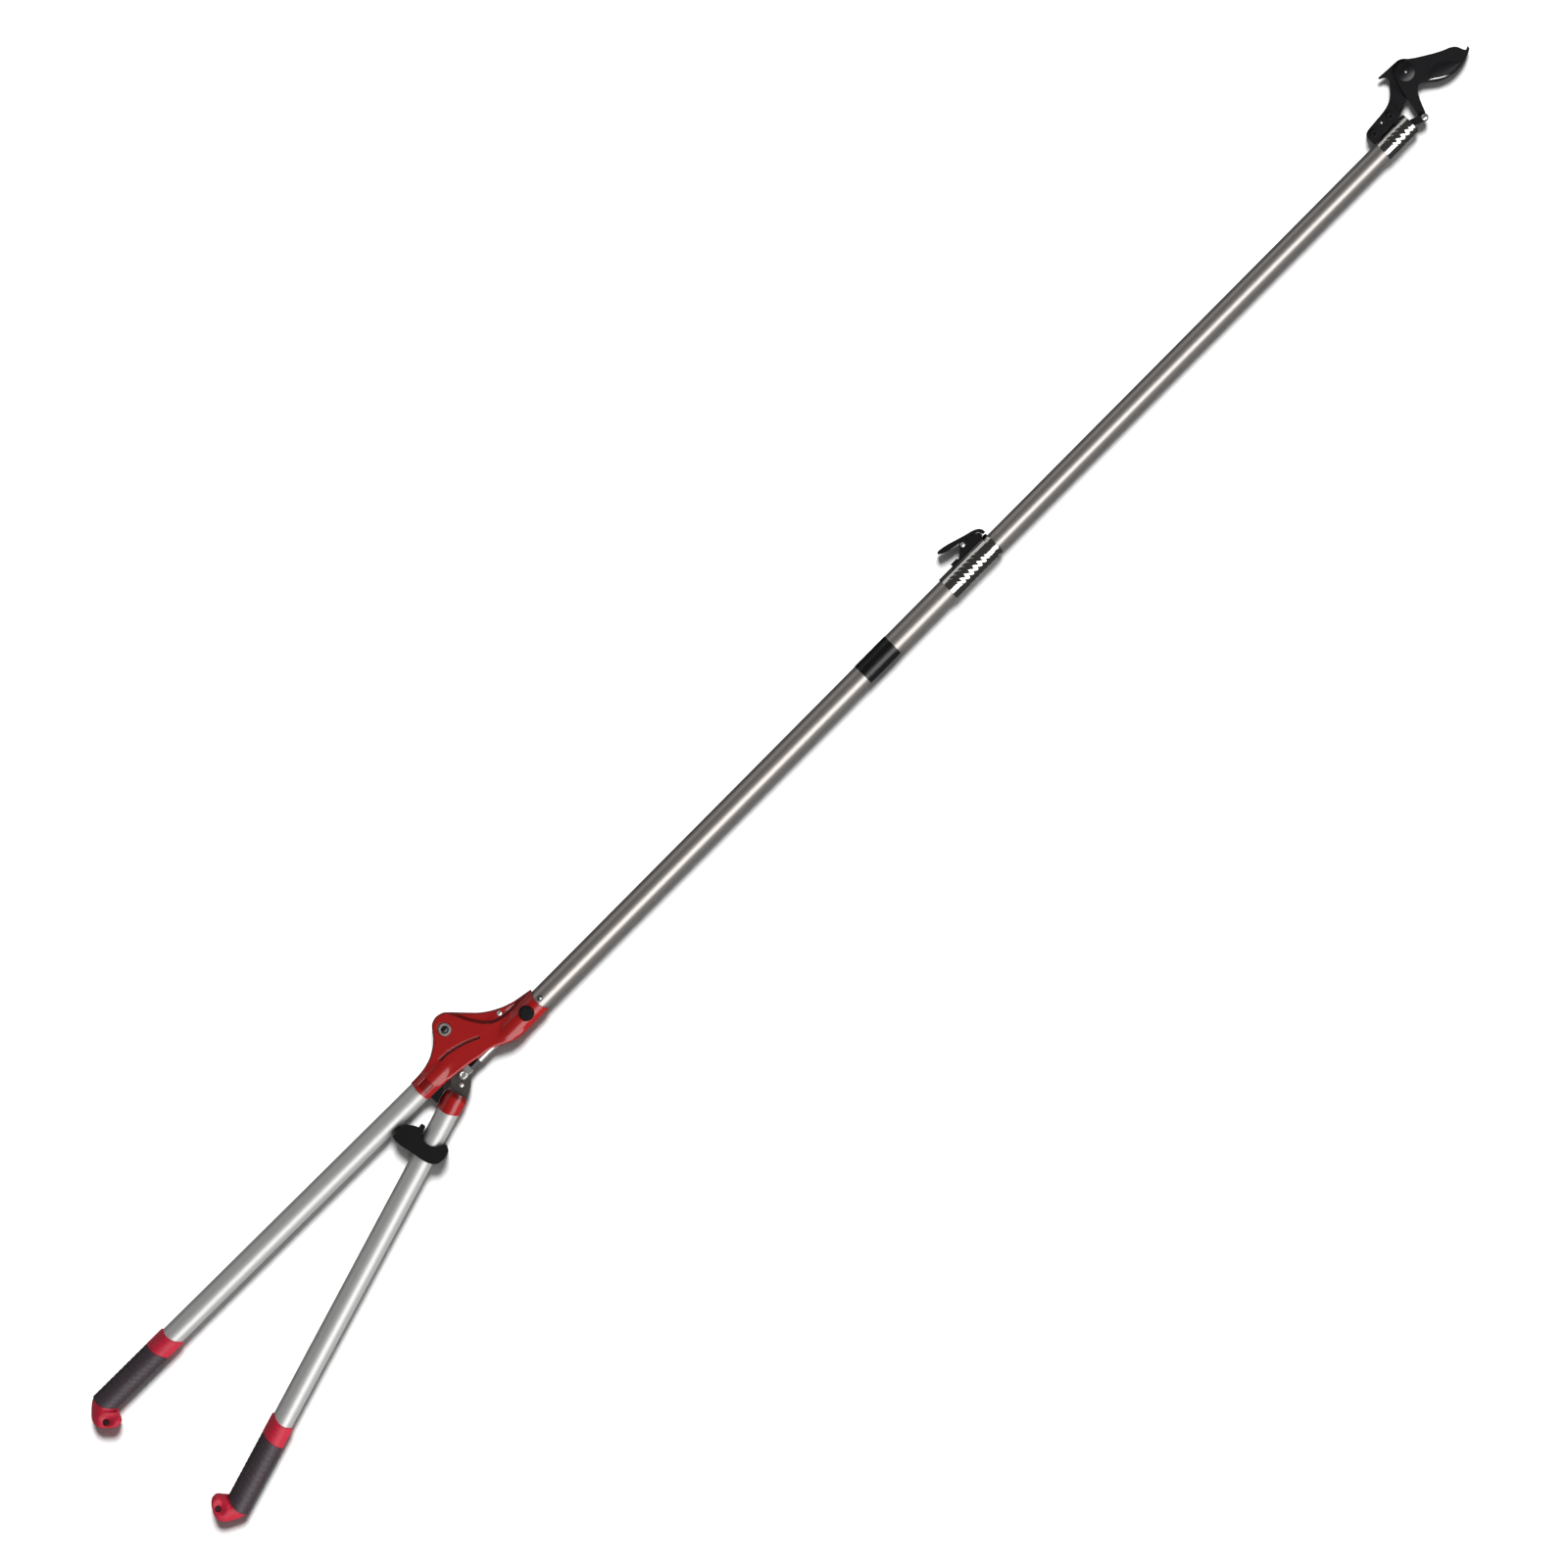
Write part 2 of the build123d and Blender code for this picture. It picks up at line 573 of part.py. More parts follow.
def cutting_blade():
    """Blade: round eye, straight heel down to the link pin and a curved cutting lobe over the hook."""
    x, y = BLADE_PIVOT
    blade = slab([
        Spline((1712.5, 61.5), (1720.6, 55.0), (1732.9, 47.1), (1745.2, 39.8), (1757.5, 33.8)),
        Spline((1757.5, 33.8), (1765.2, 30.0), (1769.6, 25.5), (1772.4, 18.6), (1775.2, 15.0)),
        Line((1775.2, 15.0), (1779.0, 14.8)),
        Spline((1779.0, 14.8), (1769.4, 9.4), (1757, 6.6), (1746, 6.4), (1735, 8.8), (1724.5, 14.4), (1716.4, 20.4),
               (1709.2, 25.2), (1702.2, 26.6)),
        Spline((1702.2, 26.6), (1697.3, 24.0), (1692.4, 17.2), (1686.6, 4.9), (1683.2, -4.0)),
        Line((1683.2, -4.0), (1672.6, -4.4)),
        Spline((1672.6, -4.4), (1676.8, 11.1), (1679.4, 24), (1683, 40), (1688.4, 53)),
        Line((1688.4, 53), (1712.5, 61.5)),
    ], -BLADE_HALF, BLADE_HALF)
    blade += post(BLADE_PIVOT, -BLADE_HALF, BLADE_HALF, 14.0)
    blade += post(LINK, -BLADE_HALF, BLADE_HALF, 5.3)
    blade -= post(BLADE_PIVOT, -20, 20, BOLT_RADIUS + RUNNING)
    return blade - post(LINK, -20, 20, 2.5 + 0.35)


def blade_bolt():
    """Broad low dome over the blade eye, and the shank of the blade pivot."""
    dome = Pos(BLADE_PIVOT[0], BLADE_PIVOT[1], BLADE_HALF + 1.2 + 2.6 - DOME_BALL) * Sphere(DOME_BALL)
    head = dome & post(BLADE_PIVOT, BLADE_HALF + 1.2, 10, 11.6)
    return head + post(BLADE_PIVOT, -16.0, BLADE_HALF + 1.2, BOLT_RADIUS)


def blade_washer():
    """Broad flat washer between the bolt head and the blade."""
    low = BLADE_HALF + 0.2
    return post(BLADE_PIVOT, low, BLADE_HALF + 1.2, 12.0) - post(BLADE_PIVOT, -20, 20, BOLT_RADIUS)


def blade_nut():
    """Locking nut with a broad flange; its lower end is one of the three points the tool rests on."""
    flange = post(BLADE_PIVOT, HOOK_BOTTOM - 2.4, HOOK_BOTTOM, 11.0)
    nut = flange + hex_prism(BLADE_PIVOT, -15.0, HOOK_BOTTOM - 2.4, 15.0)
    nut += post(BLADE_PIVOT, -FLOOR, -15.0, 6.4)
    return nut - post(BLADE_PIVOT, -16.0, 20, BOLT_RADIUS)


# --- Assembly ------------------------------------------------------------------------------------------------

pieces = {
    "fixed_handle_tube": on_fixed(handle_tube(46)),
    "fixed_grip_core": on_fixed(grip_core()),
    "fixed_grip_sleeve": on_fixed(grip_sleeve()),
    "housing_front_shell": housing_shell(True),
    "housing_back_shell": housing_shell(False),
    "main_pivot_bolt": main_bolt(),
    "main_pivot_nut": main_nut(),
    "pivot_washer_front": pivot_washer(1),
    "pivot_washer_back": pivot_washer(-1),
    "housing_rivet": housing_rivet(),
    "pole_socket_bolt": socket_bolt(),
    "pole_rivet": pole_rivet(),
    "rubber_stop": rubber_stop(),
    "outer_tube": outer_tube(),
    "tube_band": tube_band(),
    "clamp_sleeve": clamp_sleeve(),
    "lock_bracket": lock_bracket(),
    "lock_pin": lock_pin(),
    "lock_spring": lock_spring(),
    "lock_lever": lock_lever(),
    "brake_shoe": brake_shoe(),
    "moving_handle_tube": on_moving(handle_tube(56)),
    "moving_grip_core": on_moving(mirrored(grip_core())),
    "moving_grip_sleeve": on_moving(mirrored(grip_sleeve())),
    "moving_socket": on_moving(moving_socket()),
    "lever_plate": lever_plate(),
    "pivot_bush": pivot_bush(),
    "lever_rivet": lever_rivet(),
    "stop_bumper": on_moving(stop_bumper()),
    "rod_clevis": rod_clevis(),
    "clevis_pin": clevis_pin(),
    "rod_lock_nut": rod_lock_nut(),
    "outer_rod": outer_rod(),
    "rod_guide": rod_guide(),
    "inner_rod": inner_rod(),
    "inner_rod_guide": inner_rod_guide(),
    "link_fork": link_fork(),
    "link_pin": link_pin(),
    "inner_tube": pipe(INNER_START, INNER_END, INNER_RADIUS, INNER_BORE),
    "rear_bushing": rear_bushing(),
    "head_sleeve": head_sleeve(),
    "head_casting": head_casting(),
    "casting_bolt_rear": casting_bolt(CASTING_BOLTS[0]),
    "casting_bolt_front": casting_bolt(CASTING_BOLTS[1]),
    "casting_rivet": casting_rivet(),
    "hook_plate": hook_plate(),
    "cutting_blade": cutting_blade(),
    "blade_bolt": blade_bolt(),
    "blade_washer": blade_washer(),
    "blade_nut": blade_nut(),
}

os.makedirs("parts", exist_ok=True)
for name, shape in pieces.items():
    export_step(shape.moved(Location((-CENTRE_X, -CENTRE_Y, FLOOR))), f"parts/{name}.step")
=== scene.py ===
"""Telescopic bypass loppers on a pale studio floor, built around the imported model.

Shapes are worked out in millimetres in the maker's own frame. X runs along the pole toward the head and
starts under the main pivot, Y = 0 is the pole axis and grows toward the fixed handle, and Z = 0 is the plane
of the tube axes. Handle pieces are worked out along their handle: u is the distance from the foot of the
pivot, and v grows toward the other handle.
"""

import json
from math import cos, pi, radians, sin

import bmesh
import bpy
import numpy as np
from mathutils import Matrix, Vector


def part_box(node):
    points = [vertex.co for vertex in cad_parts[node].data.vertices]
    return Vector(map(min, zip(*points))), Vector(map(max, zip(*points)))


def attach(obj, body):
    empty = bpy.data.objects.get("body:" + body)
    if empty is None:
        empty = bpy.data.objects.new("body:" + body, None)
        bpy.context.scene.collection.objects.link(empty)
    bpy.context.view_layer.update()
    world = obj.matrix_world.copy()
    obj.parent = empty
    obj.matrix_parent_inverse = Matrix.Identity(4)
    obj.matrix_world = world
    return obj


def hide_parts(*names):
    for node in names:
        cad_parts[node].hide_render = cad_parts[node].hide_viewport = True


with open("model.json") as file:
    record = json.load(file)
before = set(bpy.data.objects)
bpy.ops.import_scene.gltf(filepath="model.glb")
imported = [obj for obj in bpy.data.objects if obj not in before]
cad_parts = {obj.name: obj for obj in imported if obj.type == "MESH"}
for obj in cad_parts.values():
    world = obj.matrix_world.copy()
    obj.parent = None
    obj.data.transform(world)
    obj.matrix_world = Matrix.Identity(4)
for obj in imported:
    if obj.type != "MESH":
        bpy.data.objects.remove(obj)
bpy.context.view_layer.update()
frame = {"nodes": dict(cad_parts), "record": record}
nodes = frame["nodes"]
record = frame["record"]
SLOT_OF = {entry["node"]: entry["material_slot"] for entry in record["subparts"]}
BODY_OF = {node: body for body, members in record["behaviour"]["bodies"].items() for node in members}

# The outer tube starts this far along the pole, which tells where the maker's frame starts
POLE_START = 64.0
tube_low, tube_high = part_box("outer_tube")
ORIGIN = np.array([
    tube_low[0] - POLE_START / 1000,
    (tube_low[1] + tube_high[1]) / 2,
    (tube_low[2] + tube_high[2]) / 2,
])

GRIP_RADIUS = 16.0
FIXED_TILT = radians(180 - 0.52)
FIXED_OFFSET = 25.4
MOVING_TILT = radians(180 + 16.7)
MOVING_OFFSET = 4.0


# --- Materials ---------------------------------------------------------------------------------------


def linear(hex_colour):
    """sRGB hex value to a linear RGBA colour."""
    channels = [int(hex_colour[i:i + 2], 16) / 255 for i in (1, 3, 5)]
    return [c / 12.92 if c <= 0.04045 else ((c + 0.055) / 1.055) ** 2.4 for c in channels] + [1.0]


def add(tree, kind, settings=None, links=None):
    """Add a node, set its inputs or properties, and link its inputs to other nodes' outputs."""
    node = tree.nodes.new(kind)
    for key, value in (settings or {}).items():
        if key in node.inputs:
            node.inputs[key].default_value = value
        else:
            setattr(node, key, value)
    for key, (source, output) in (links or {}).items():
        tree.links.new(source.outputs[output], node.inputs[key])
    return node


def finish(name, colour, metallic, roughness, **extra):
    """Plain surface finish; returns the material, its node tree and its shader."""
    material = bpy.data.materials.new(name)
    material.use_nodes = True
    shader = material.node_tree.nodes["Principled BSDF"]
    shader.inputs["Base Color"].default_value = linear(colour)
    shader.inputs["Metallic"].default_value = metallic
    shader.inputs["Roughness"].default_value = roughness
    for key, value in extra.items():
        shader.inputs[key.replace("_", " ")].default_value = value
    return material, material.node_tree, shader


def grain(tree, shader, size_mm, depth_mm, stretch=(1, 1, 1)):
    """Fine relief from noise on object coordinates, with grains of the given size; returns the noise."""
    place = add(tree, "ShaderNodeTexCoord")
    scaled = add(tree, "ShaderNodeMapping", {"Scale": stretch}, {"Vector": (place, "Object")})
    noise = add(tree, "ShaderNodeTexNoise", {"Scale": 1000 / size_mm, "Detail": 3.0},
                {"Vector": (scaled, "Vector")})
    bump = add(tree, "ShaderNodeBump", {"Strength": 1.0, "Distance": depth_mm / 1000},
               {"Height": (noise, "Fac")})
    tree.links.new(bump.outputs["Normal"], shader.inputs["Normal"])
    return noise


def mottle(tree, shader, noise, low, high):
    """Colour that wanders between two tones with the noise; returns the ramp."""
    ramp = add(tree, "ShaderNodeValToRGB", links={"Fac": (noise, "Fac")})
    ramp.color_ramp.elements[0].position = 0.25
    ramp.color_ramp.elements[0].color = linear(low)
    ramp.color_ramp.elements[1].position = 0.75
    ramp.color_ramp.elements[1].color = linear(high)
    tree.links.new(ramp.outputs["Color"], shader.inputs["Base Color"])
    return ramp


# The mix node has its sockets once for each kind of data; these are the colour ones
COLOUR_A = 6
COLOUR_B = 7
COLOUR_RESULT = 2


def red_enamel():
    """Cast aluminium under red stoving enamel: deep red, fine orange peel, and painted shade where shade
    falls.
    """
    material, tree, shader = finish("red_stoving_enamel", "#961818", 0.0, 0.24)
    noise = grain(tree, shader, 1.3, 0.02)
    ramp = mottle(tree, shader, noise, "#941717", "#A41B1B")
    # Painted shade: a point attribute mixes the red toward the near-black red below where shade falls
    painted_shade = add(tree, "ShaderNodeAttribute", {"attribute_name": "painted_shade"})
    shade = add(tree, "ShaderNodeMix", {"data_type": "RGBA"}, {"Factor": (painted_shade, "Fac")})
    shade.inputs[COLOUR_B].default_value = linear("#2A0506")
    tree.links.new(ramp.outputs["Color"], shade.inputs[COLOUR_A])
    tree.links.new(shade.outputs[COLOUR_RESULT], shader.inputs["Base Color"])
    return material


def red_moulding():
    """Injection-moulded polypropylene with a leathery spark-eroded skin: crimson, softly mottled."""
    material, tree, shader = finish("red_moulded_polypropylene", "#C01F3C", 0.0, 0.5, Specular_IOR_Level=0.35)
    noise = grain(tree, shader, 1.6, 0.14)
    mottle(tree, shader, noise, "#9C1226", "#CE2340")
    return material


def soft_grip():
    """Thermoplastic rubber moulded over the core: dark warm grey, matte, with a leathery grain."""
    material, tree, shader = finish("soft_grip_rubber", "#322D31", 0.0, 0.55)
    noise = grain(tree, shader, 1.6, 0.14)
    mottle(tree, shader, noise, "#2B2127", "#43373E")
    return material


def handle_aluminium():
    """Drawn aluminium, etched and clear anodised: pale satin metal, drawn lines along the tube."""
    material, tree, shader = finish("etched_anodised_aluminium", "#BDBDBB", 0.45, 0.45)
    grain(tree, shader, 0.9, 0.004, (0.02, 1, 1))
    return material


def pole_aluminium():
    """Drawn aluminium, bright clear anodising with a warm cast: satin metal with a tight long highlight."""
    material, tree, shader = finish("bright_anodised_aluminium", "#ABA6A2", 0.8, 0.41)
    grain(tree, shader, 0.9, 0.003, (0.02, 1, 1))
    return material


def bright_chrome():
    """Polished zinc casting with bright nickel-chrome plating: mirror-like with hard contrast."""
    return finish("nickel_chrome_plating", "#D9D7D2", 1.0, 0.13)[0]


def black_nylon():
    """Glass-filled nylon moulding: near black with a soft sheen."""
    material, tree, shader = finish("black_glass_filled_nylon", "#0B0A0B", 0.0, 0.36)
    grain(tree, shader, 1.4, 0.02)
    return material


def coated_steel():
    """Hardened steel with a baked low-friction coating: near-black violet grey, even satin."""
    material, tree, shader = finish("low_friction_coated_steel", "#151417", 0.0, 0.36)
    grain(tree, shader, 1.2, 0.012)
    return material


def rolled_steel():
    """Hot-rolled steel with its mill scale: dull brown grey."""
    material, tree, shader = finish("mill_scale_steel", "#413D3A", 0.2, 0.5)
    noise = grain(tree, shader, 1.7, 0.02)
    mottle(tree, shader, noise, "#3A3634", "#494542")
    return material


def zinc_plate():
    """Turned steel with bright zinc plating: silvery with soft reflections."""
    return finish("bright_zinc_plating", "#D2D2D0", 0.8, 0.3)[0]


def black_oxide():
    """Black-oxide screw: almost black, slightly shiny."""
    return finish("black_oxide_steel", "#161618", 0.0, 0.3)[0]


def sintered_bronze():
    """Oil-filled sintered bronze bush: dull golden brown."""
    return finish("sintered_bronze", "#A67C4A", 1.0, 0.45)[0]


MATERIALS = {
    "red_paint": red_enamel(),
    "red_plastic": red_moulding(),
    "grip_rubber": soft_grip(),
    "handle_aluminium": handle_aluminium(),
    "pole_aluminium": pole_aluminium(),
    "bright_chrome": bright_chrome(),
    "black_plastic": black_nylon(),
    "black_coated_steel": coated_steel(),
    "dark_steel": rolled_steel(),
    "zinc_steel": zinc_plate(),
    "black_bolt": black_oxide(),
    "bronze": sintered_bronze(),
}

for node, slot in SLOT_OF.items():
    nodes[node].data.materials.clear()
    nodes[node].data.materials.append(MATERIALS[slot])


# --- Making pieces -----------------------------------------------------------------------------------


def settle(piece, body, slot, replaced=()):
    """Give a piece its finish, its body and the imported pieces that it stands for."""
    piece.data.materials.clear()
    piece.data.materials.append(MATERIALS[slot])
    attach(piece, body)
    if replaced:
        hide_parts(*replaced)
    return piece


def tidy_mesh(mesh, flat_angle=None, outward=True):
    """Merge doubled points, join flat facets if an angle is given, and turn the faces outward."""
    work = bmesh.new()
    work.from_mesh(mesh)
    bmesh.ops.remove_doubles(work, verts=work.verts, dist=1e-6)
    bmesh.ops.dissolve_degenerate(work, dist=1e-7, edges=work.edges)
    if flat_angle:
        bmesh.ops.dissolve_limit(work, angle_limit=flat_angle, verts=work.verts, edges=work.edges)
    if outward:
        bmesh.ops.recalc_face_normals(work, faces=work.faces)
    work.to_mesh(mesh)
    work.free()


def skin(name, points, around=True, looped=False, sharp=40.0, painted_shade=None):
    """Quads over a grid of points in the maker's millimetres.

    The second index closes on itself with around, the first with looped; a row drawn to one point makes
    a pole. The painted shade values, one for each point, tell the enamel where to paint shade.
    """
    rows, columns = points.shape[:2]
    index = np.arange(rows * columns).reshape(rows, columns)
    here = index if looped else index[:-1]
    there = np.roll(index, -1, axis=0) if looped else index[1:]
    if around:
        quads = np.stack([here, there, np.roll(there, -1, axis=1), np.roll(here, -1, axis=1)], axis=-1)
    else:
        quads = np.stack([here[:, :-1], there[:, :-1], there[:, 1:], here[:, 1:]], axis=-1)
    mesh = bpy.data.meshes.new(name)
    places = points.reshape(-1, 3) / 1000 + ORIGIN
    mesh.from_pydata(places.tolist(), [], quads.reshape(-1, 4).tolist())
    mesh.update()
    # Painted shade: stored as a point attribute that the red enamel reads
    if painted_shade is not None:
        mesh.attributes.new("painted_shade", "FLOAT", "POINT").data.foreach_set("value", painted_shade.ravel())
    tidy_mesh(mesh)
    mesh.shade_smooth()
    mesh.set_sharp_from_angle(angle=radians(sharp))
    piece = bpy.data.objects.new(name, mesh)
    bpy.context.scene.collection.objects.link(piece)
    return piece


def softened(node, width, slot=None):
    """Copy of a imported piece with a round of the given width, in millimetres, along its edges."""
    mesh = nodes[node].data.copy()
    tidy_mesh(mesh, radians(0.6), outward=False)
    mesh.shade_smooth()
    mesh.set_sharp_from_angle(angle=radians(32))
    piece = bpy.data.objects.new(node + "_soft_edges", mesh)
    bpy.context.scene.collection.objects.link(piece)
    bevel = piece.modifiers.new("rounded_edges", "BEVEL")
    bevel.width = width / 1000
    bevel.segments = 3
    bevel.limit_method = "ANGLE"
    bevel.angle_limit = radians(35)
    bevel.harden_normals = True
    return settle(piece, BODY_OF[node], slot or SLOT_OF[node], (node,))


def on_handle(u, v, z, moving):
    """Points of a handle's own coordinates carried to the maker's frame."""
    tilt = MOVING_TILT if moving else FIXED_TILT
    offset = MOVING_OFFSET if moving else FIXED_OFFSET
    side = -v if moving else v
    x = cos(tilt) * u - sin(tilt) * side
    y = offset + sin(tilt) * u + cos(tilt) * side
    return np.stack([x, y, z * np.ones_like(x)], axis=-1)


def smoothstep(value):
    """Zero below 0, one above 1, and 3t^2 - 2t^3 between."""
    t = np.clip(value, 0, 1)
    return t * t * (3 - 2 * t)


def larger(a, b, blend):
    """Smooth maximum: half of a + b + the root of (a - b)^2 + blend^2."""
    return (a + b + np.sqrt((a - b) ** 2 + blend ** 2)) / 2


def through(points, t):
    """Catmull-Rom curve through a few points, for parameters from 0 to 1 shared out by chord length."""
    p = np.array(points, float)
    chord = np.concatenate([[0], np.cumsum(np.hypot(*np.diff(p, axis=0).T))])
    padded = np.vstack([2 * p[0] - p[1], p, 2 * p[-1] - p[-2]])
    s = np.clip(t, 0, 1) * chord[-1]
    i = np.clip(np.searchsorted(chord, s, side="right") - 1, 0, len(p) - 2)
    f = ((s - chord[i]) / (chord[i + 1] - chord[i]))[..., None]
    a, b, c, d = (padded[i + k] for k in range(4))
    square = 2 * a - 5 * b + 4 * c - d
    cube = 3 * b - a - 3 * c + d
    return 0.5 * (2 * b + (c - a) * f + square * f ** 2 + cube * f ** 3)


def height_on(points, x):
    """Y of the Catmull-Rom curve through points at each x; the points run toward greater x."""
    curve = through(points, np.linspace(0, 1, 800))
    return np.interp(x, curve[:, 0], curve[:, 1])


# --- Grips -------------------------------------------------------------------------------------------

# Each boundary on a grip is a saddle cut, u = a + b v + c v^2, that leans toward the pivot on the inner side
COLLAR_FRONT = (516.6, -0.1875, -0.0219)
COLLAR_BACK = (542.6, -0.2125, -0.0145)
KNOB_FRONT = (637.2, -0.317, -0.0229)
SLEEVE_BORE = 14.3
RIBS = 13


def saddle(cut, v):
    """Distance along the handle of a saddle cut at the side distance v."""
    return cut[0] + cut[1] * v + cut[2] * v * v


def grip_ring(name, front, back, outside, radius_bore, moving):
    """Closed ring round the tube between two saddle cuts.

    The outside radii are given at even steps from front to back; the bore returns at one radius.
    """
    angle = np.linspace(0, 2 * pi, 128, endpoint=False)
    s = np.linspace(0, 1, outside.size)
    share = np.concatenate([s, [1, 0]])[:, None]
    radius = np.concatenate([outside, [radius_bore, radius_bore]])[:, None]
    v = radius * np.cos(angle)
    z = radius * np.sin(angle)
    rim_v = GRIP_RADIUS * np.cos(angle)
    u = saddle(front, rim_v) * (1 - share) + saddle(back, rim_v) * share
    return skin(name, on_handle(u, v, z, moving), looped=True)


def rolled(distance, length, roll, deep):
    """How far a surface sinks near the ends of a run: a quarter ellipse of the given roll and depth."""
    near = np.minimum(distance, length - distance)
    return deep * (1 - np.sqrt(1 - (1 - np.clip(near / roll, 0, 1)) ** 2))


def grip_collar(name, moving):
    """Red collar: full radius with a well-rounded front edge and a small round at the back.

    The rounds are worked out at stations crowded toward both ends, then read off at even ones.
    """
    length = COLLAR_BACK[0] - COLLAR_FRONT[0]
    d = length * (1 - np.cos(np.linspace(0, pi, 48))) / 2
    front_round = rolled(d, 2 * length, 2.2, 1.5)
    back_round = rolled(length - d, 2 * length, 0.7, 0.5)
    outside = GRIP_RADIUS + 0.1 - front_round - back_round
    even = np.interp(np.linspace(0, length, 90), d, outside)
    return grip_ring(name, COLLAR_FRONT, COLLAR_BACK, even, SLEEVE_BORE, moving)


def sleeve_outside(share):
    """Radius of the sleeve: low rounded ribs parted by narrow valleys, with rolled ends."""
    length = KNOB_FRONT[0] - COLLAR_BACK[0]
    valley = np.abs(np.cos(pi * RIBS * share)) ** 14
    ends = rolled(share * length, length, 1.0, 0.6)
    taper = smoothstep(share * 12) * smoothstep((1 - share) * 9)
    return GRIP_RADIUS - 0.4 * valley * taper - ends


def grip_sleeve(name, moving):
    """Black sleeve between the collar and the knob, ribbed like a bellows that follows both saddle cuts."""
    outside = sleeve_outside(np.linspace(0, 1, 420))
    return grip_ring(name, COLLAR_BACK, KNOB_FRONT, outside, SLEEVE_BORE, moving)


# The knob lies between two rails that meet at its tip
OUTER_RAIL = [(633.5, -15.5), (641, -12.6), (650.5, -4.5), (657.6, 4), (659.4, 11.5), (657.3, 18.5),
              (651.5, 25), (644.5, 30.4), (638, 32.8)]
INNER_RAIL = [(624.3, 15.5), (625.6, 18.6), (627.3, 22.5), (629.2, 27), (632, 31), (638, 32.8)]
NECK_HALF = 15.3
KNOB_HALF = 16.6
NECK_RADIUS = 15.4
HANG_HOLE = (646.5, 19.0)
HANG_HOLE_RADIUS = 4.5
DISH_RADIUS = 13.0


def end_knob(name, moving):
    """Hooked knob: superellipse sections strung between an outer and an inner rail.

    Half height is the grip's at the neck, swells, and dies away as a rounded tip. Near the sleeve it stays
    within a circle, the root of radius^2 - v^2, and a shallow dish surrounds the hang hole.
    """
    t = np.linspace(0, 1, 150) ** 0.9
    outer = through(OUTER_RAIL, t)[:, None, :]
    inner = through(INNER_RAIL, t)[:, None, :]
    phi = np.linspace(0, 2 * pi, 160, endpoint=False)[None, :]
    squareness = 1 - 0.3 * smoothstep((t - 0.25) * 2.6)[:, None]
    across = np.sign(np.cos(phi)) * np.abs(np.cos(phi)) ** squareness
    above = np.sign(np.sin(phi)) * np.abs(np.sin(phi)) ** squareness
    centre = (outer + inner) / 2
    half = (outer - inner) / 2
    plane = centre + half * across[..., None]
    tall = NECK_HALF + (KNOB_HALF - NECK_HALF) * smoothstep((t - 0.42) * 5)
    tall *= np.sqrt(1 - np.clip((t - 0.62) / 0.38, 0, 1) ** 2.4)
    away = np.hypot(plane[..., 0] - HANG_HOLE[0], plane[..., 1] - HANG_HOLE[1])
    dish = 1 - 0.3 * (1 - smoothstep(away / DISH_RADIUS))
    z = tall[:, None] * above * dish
    neck_z = np.sqrt(NECK_RADIUS ** 2 - np.clip(plane[..., 1], -15.0, 15.0) ** 2)
    free = smoothstep((plane[..., 0] - saddle(KNOB_FRONT, plane[..., 1]) - 0.3) / 6)
    z = np.where(np.abs(z) > neck_z, np.sign(z) * (neck_z + (np.abs(z) - neck_z) * free), z)
    neck = np.repeat(centre[:1], phi.size, axis=1)
    plane = np.vstack([neck, plane])
    z = np.vstack([np.zeros((1, phi.size)), z])
    knob = skin(name, on_handle(plane[..., 0], plane[..., 1], z, moving))
    drill(knob, moving)
    return knob


def drill(knob, moving):
    """Cut the hang hole: a closed round bar is taken out of the knob."""
    angle = np.linspace(0, 2 * pi, 48, endpoint=False)
    radius = np.array([0, 1, 1, 0])[:, None] * HANG_HOLE_RADIUS
    depth = np.array([-20, -20, 20, 20])[:, None] * np.ones_like(angle)
    u = HANG_HOLE[0] + radius * np.cos(angle)
    v = HANG_HOLE[1] + radius * np.sin(angle)
    cutter = skin("hang_hole_bar", on_handle(u, v, depth, moving))
    cut = knob.modifiers.new("hang_hole", "BOOLEAN")
    cut.operation = "DIFFERENCE"
    cut.object = cutter
    drilled = bpy.data.meshes.new_from_object(knob.evaluated_get(bpy.context.evaluated_depsgraph_get()))
    knob.modifiers.clear()
    knob.data = drilled
    knob.data.shade_smooth()
    knob.data.set_sharp_from_angle(angle=radians(45))
    bpy.data.objects.remove(cutter)


for side, moving, body in (
    ("fixed", False, "pole_and_fixed_handle"),
    ("moving", True, "moving_handle"),
):
    settle(grip_sleeve(side + "_soft_sleeve", moving), body, "grip_rubber", (side + "_grip_sleeve",))
    settle(end_knob(side + "_end_knob", moving), body, "red_plastic", (side + "_grip_core",))
    settle(grip_collar(side + "_collar", moving), body, "red_plastic")


# --- Housing -----------------------------------------------------------------------------------------

PIVOT = (1.2, 58.6)
# Heights of the flat face and of the flange beyond the crease, the round of the rims, how much less the rim
# drops over the slot, the thickness of the casting, and the columns of points in a side wall
PLATEAU = 11.5
FLANGE = 6.5
RIM_ROUND = 3.6
SLOT_RISE = 1.4
WALL = 1.25
WALL_COLUMNS = 4
UPPER_RAIL = [(-79, 41.1), (-70, 41.0), (-58, 41.6), (-47, 43.5), (-34.5, 48), (-20, 57.6), (-12, 67),
              (-5.5, 74.2), (3, 77.3), (11.5, 76), (18.5, 71.5), (34.8, 54.5), (48, 41.5), (64, 31.0),
              (82.7, 23.2), (114, 15.7)]
LOWER_RAIL = [(-79, 11.1), (-60, 11.0), (-42.5, 10.4), (-10.6, 6.5), (8.1, 2.9), (26.8, -0.5),
              (42.8, -8.2), (52.5, -12.6), (66, -15.2), (90, -15.3), (114, -15.2)]
